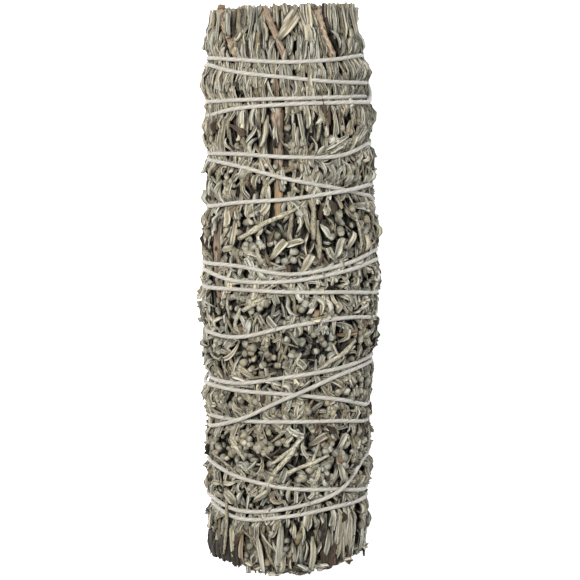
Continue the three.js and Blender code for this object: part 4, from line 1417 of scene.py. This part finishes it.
def bent_copies(shape, rows):
    rows = np.asarray(rows)
    angle, y, heading, length, width, thick, bend, roll, tone, twist = rows[:, :10].T[:, :, None]
    px, py, pz = shape["points"].T
    u = np.clip(py, 0.0, 1.0)[None]
    weights = np.stack([np.interp(u[0], ALONG_U, np.eye(STATIONS)[k]) for k in range(STATIONS)])
    lean = roll + twist * (u - 0.3) * 1.2
    flat = px[None] * width / 2.0
    thin = pz[None] * thick / 2.0
    aside = flat * np.cos(lean) - thin * np.sin(lean)
    height = rows[:, 10:] @ weights + flat * np.sin(lean) + thin * np.cos(lean)
    turn = np.radians(heading)
    angles, ys = led(angle, y, length, u, aside, turn, np.radians(bend), np.sin(turn), np.cos(turn))
    points = on_stick(angles, ys, height)
    lowest = points[:, :, 2].min(axis=1)
    points[:, :, 2] += np.maximum(LEAST_HEIGHT - lowest, 0.0)[:, None]
    i, j = cells(angles, ys)
    # painted shade: how far a point lies below the softened ground around it
    depth = smooth_step(cover[i, j] - height, -0.05, 1.8)
    near_end = np.maximum(smooth_step(ys, 95.0, 103.0), smooth_step(-ys, 88.0, 99.0))
    depth = depth * (1.0 - near_end * (0.3 + 0.62 * smooth_step(-height, 1.5, 5.0)))
    # how far a point lies on the piece's underside, where shade is painted
    inside = smooth_step(0.5 - pz / np.abs(pz).max(), 0.0, 0.7) * shape["round"]
    leaf = np.stack(np.broadcast_arrays(shape["across"], u, tone), axis=-1)
    lie = np.stack(np.broadcast_arrays(depth, 0.0, inside), axis=-1)
    block = {"points": points, "faces": shape["faces"], "leaf": leaf, "lie": lie}
    if "corner" in shape:
        block["corner"] = shape["corner"]
    return block


FAMILIES = [
    ("leaf", LEAF_SHAPES, "leaves", sage_leaf, "sage_leaf"),
    ("bud", BUD_SHAPES, "buds", sage_bud, "sage_leaf"),
    ("twig", TWIG_SHAPES, "twigs", sage_twig, "sage_stem"),
]
homes = {kind: sprig_of(np.array([r[0] for r in rows]), np.array([r[1] for r in rows]))
         for kind, rows in laid.items()}

for sprig in range(SPRIGS):
    for family, shapes, title, material, slot in FAMILIES:
        blocks = []
        for k, shape in enumerate(shapes):
            kind = (family, k)
            rows = [row for row, home in zip(laid[kind], homes[kind]) if home == sprig]
            if rows:
                blocks.append(bent_copies(shape, rows))
        write_piece(f"{title}_{sprig + 1:02d}", blocks, material, [f"sprig_{sprig + 1:02d}"])

# %% [markdown]
# ## The packed middle
#
# Under the loose leaves the bundle is pressed into one mass, painted dark as shade. It is drawn out
# like a candle, ring by ring, and its surface is crumpled so that no smooth skin shows in a gap. Its
# two ends get less painted shade than its sides, as light reaches them between the pieces on the end
# faces.

# %% The packed inner leaves
CORE_CORNERS = 90
CORE_RINGS = 110
CORE_START = -93.0
CORE_LENGTH = 187.0
CORE_DEPTH = -4.7


def packed_middle():
    upright_disk(CORE_CORNERS, "TRIFAN")
    draw_out_evenly(CORE_RINGS)
    shape = take("packed middle")
    points = shape["points"]
    random = np.random.default_rng(7)
    turn = np.degrees(np.arctan2(points[:, 0], points[:, 2]))
    out = np.hypot(points[:, 0], points[:, 2])
    y = CORE_START + CORE_LENGTH * points[:, 1]
    crumple = random.normal(0.0, 0.35, len(points)) + 0.4 * np.sin(turn * 0.35 + y * 0.6)
    height = CORE_DEPTH + np.clip(crumple, -0.9, 0.9)
    radius = out * (reach(turn, y) + height)
    turned = np.radians(turn)
    moved = np.stack([sideways(y) + radius * np.sin(turned), y + 0.3 * crumple,
                      AXIS_HEIGHT + radius * np.cos(turned)], axis=-1)
    leaf = np.stack([np.sin(turned * 40.0), points[:, 1], np.full(len(y), 0.2)], axis=-1)
    # painted shade: the packed middle is darkened as shade, less at its two ends
    painted_core_shade = 0.85 - 0.4 * smooth_step(np.abs(y), 92.0, 93.0)
    lie = np.stack([painted_core_shade, 0.0 * y, 0.0 * y], axis=-1)
    return {"points": moved[None], "faces": shape["faces"], "leaf": leaf[None], "lie": lie[None]}


write_piece("packed_leaves", [packed_middle()], sage_leaf,
            [f"inner_sprig_{n:02d}" for n in range(1, 5)])

# %% [markdown]
# ## The string
#
# Kitchen-type cotton string is three plies twisted together. A plain tube would look like wire,
# so its section is a softly three-leaved one that turns as it goes along, and the finish paints
# shade into the grooves between the plies as a darker colour.

# %% Draw the string along its route
STRING_CORNERS = 9
RING_STEP = 0.95
TWIST_LENGTH = 12.0
PLY_SWELL = 0.024
END_BULGE = 0.3


def tube_block(line, radius, taper=0.0):
    """A closed tube of twisted plies along a line."""
    steps = np.linalg.norm(np.diff(line, axis=0), axis=1)
    run = np.concatenate([[0.0], np.cumsum(steps)])
    count = int(run[-1] / RING_STEP) + 2
    at = np.linspace(0.0, run[-1], count)
    centre = np.stack([np.interp(at, run, line[:, k]) for k in range(3)], axis=-1)
    side, up, ahead = side_and_up(centre)
    turn = np.linspace(0.0, 2.0 * math.pi, STRING_CORNERS, endpoint=False)
    spin = 2.0 * math.pi * at / TWIST_LENGTH
    lobe = np.cos(3.0 * (turn[None] - spin[:, None]))
    slim = 1.0 - taper * (at / run[-1])
    size = radius * (0.87 + PLY_SWELL * lobe) * slim[:, None]
    points = centre[:, None] + side[:, None] * (size * np.cos(turn))[:, :, None]
    points = points + up[:, None] * (size * np.sin(turn))[:, :, None]
    points = np.concatenate([points.reshape(-1, 3), centre[:1] - ahead[:1] * END_BULGE,
                             centre[-1:] + ahead[-1:] * END_BULGE])
    k = np.arange(STRING_CORNERS)
    after = (k + 1) % STRING_CORNERS
    ring = np.arange(count - 1)[:, None] * STRING_CORNERS
    a, b = ring + k, ring + after
    c, d = a + STRING_CORNERS, b + STRING_CORNERS
    sides = [np.stack(corners, -1).reshape(-1, 3) for corners in ((a, b, d), (a, d, c))]
    first, last = count * STRING_CORNERS, count * STRING_CORNERS + 1
    base = (count - 1) * STRING_CORNERS
    start_cap = np.stack([after, k, np.full_like(k, first)], -1)
    end_cap = np.stack([base + k, base + after, np.full_like(k, last)], -1)
    faces = np.concatenate([*sides, start_cap, end_cap])
    ply = np.concatenate([(lobe * 0.5 + 0.5).ravel(), [0.3, 0.3]])
    along = np.concatenate([np.repeat(at, STRING_CORNERS), [0.0, at[-1]]])
    leaf = np.stack([ply, along, np.ones(len(ply))], axis=-1)
    lie = np.zeros_like(leaf)
    return {"points": points[None], "faces": faces, "leaf": leaf[None], "lie": lie[None]}


fine_travel = np.arange(STRING_START, STRING_END + 0.01, 1.0)
fine_y = np.array([string_y(t) for t in fine_travel])
fine_height = np.interp(fine_travel, travels, route_height)
string_line = on_stick(fine_travel, fine_y, fine_height)
string_line[:, 2] = np.maximum(string_line[:, 2], STRING_RADIUS + LEAST_CLEARANCE)
string_blocks = [tube_block(string_line, STRING_RADIUS)]

# %% The knot and its two tails
knot_middle = on_stick(KNOT_ANGLE, KNOT_Y, 0.2)
knot_out = on_stick(KNOT_ANGLE, KNOT_Y, 1.2) - knot_middle
knot_out /= np.linalg.norm(knot_out)
knot_along = np.array([0.0, 1.0, 0.0])
knot_round = np.cross(knot_along, knot_out)
t = np.linspace(0.0, 2.0 * math.pi, 90)
knot_line = (knot_middle
             + np.outer(0.58 * (np.sin(t) + 2.0 * np.sin(2.0 * t)), knot_round)
             + np.outer(0.70 * (np.cos(t) - 2.0 * np.cos(2.0 * t)), knot_along)
             + np.outer(-0.75 * np.sin(3.0 * t), knot_out))
string_blocks.append(tube_block(knot_line, STRING_RADIUS * 0.95))
for way in (-1.0, 1.0):
    tail_end = on_stick(KNOT_ANGLE + way * 11.0, KNOT_Y - way * 6.0, 0.9)
    tail_middle = (knot_middle + tail_end) / 2.0 + knot_out * 0.7
    tail = smooth_way([knot_middle, tail_middle, tail_end], 20)
    string_blocks.append(tube_block(tail, STRING_RADIUS, taper=0.35))
write_piece("twisted_string", string_blocks, cotton_string, ["string"])

# %% Finish
bpy.ops.object.select_all(action="DESELECT")
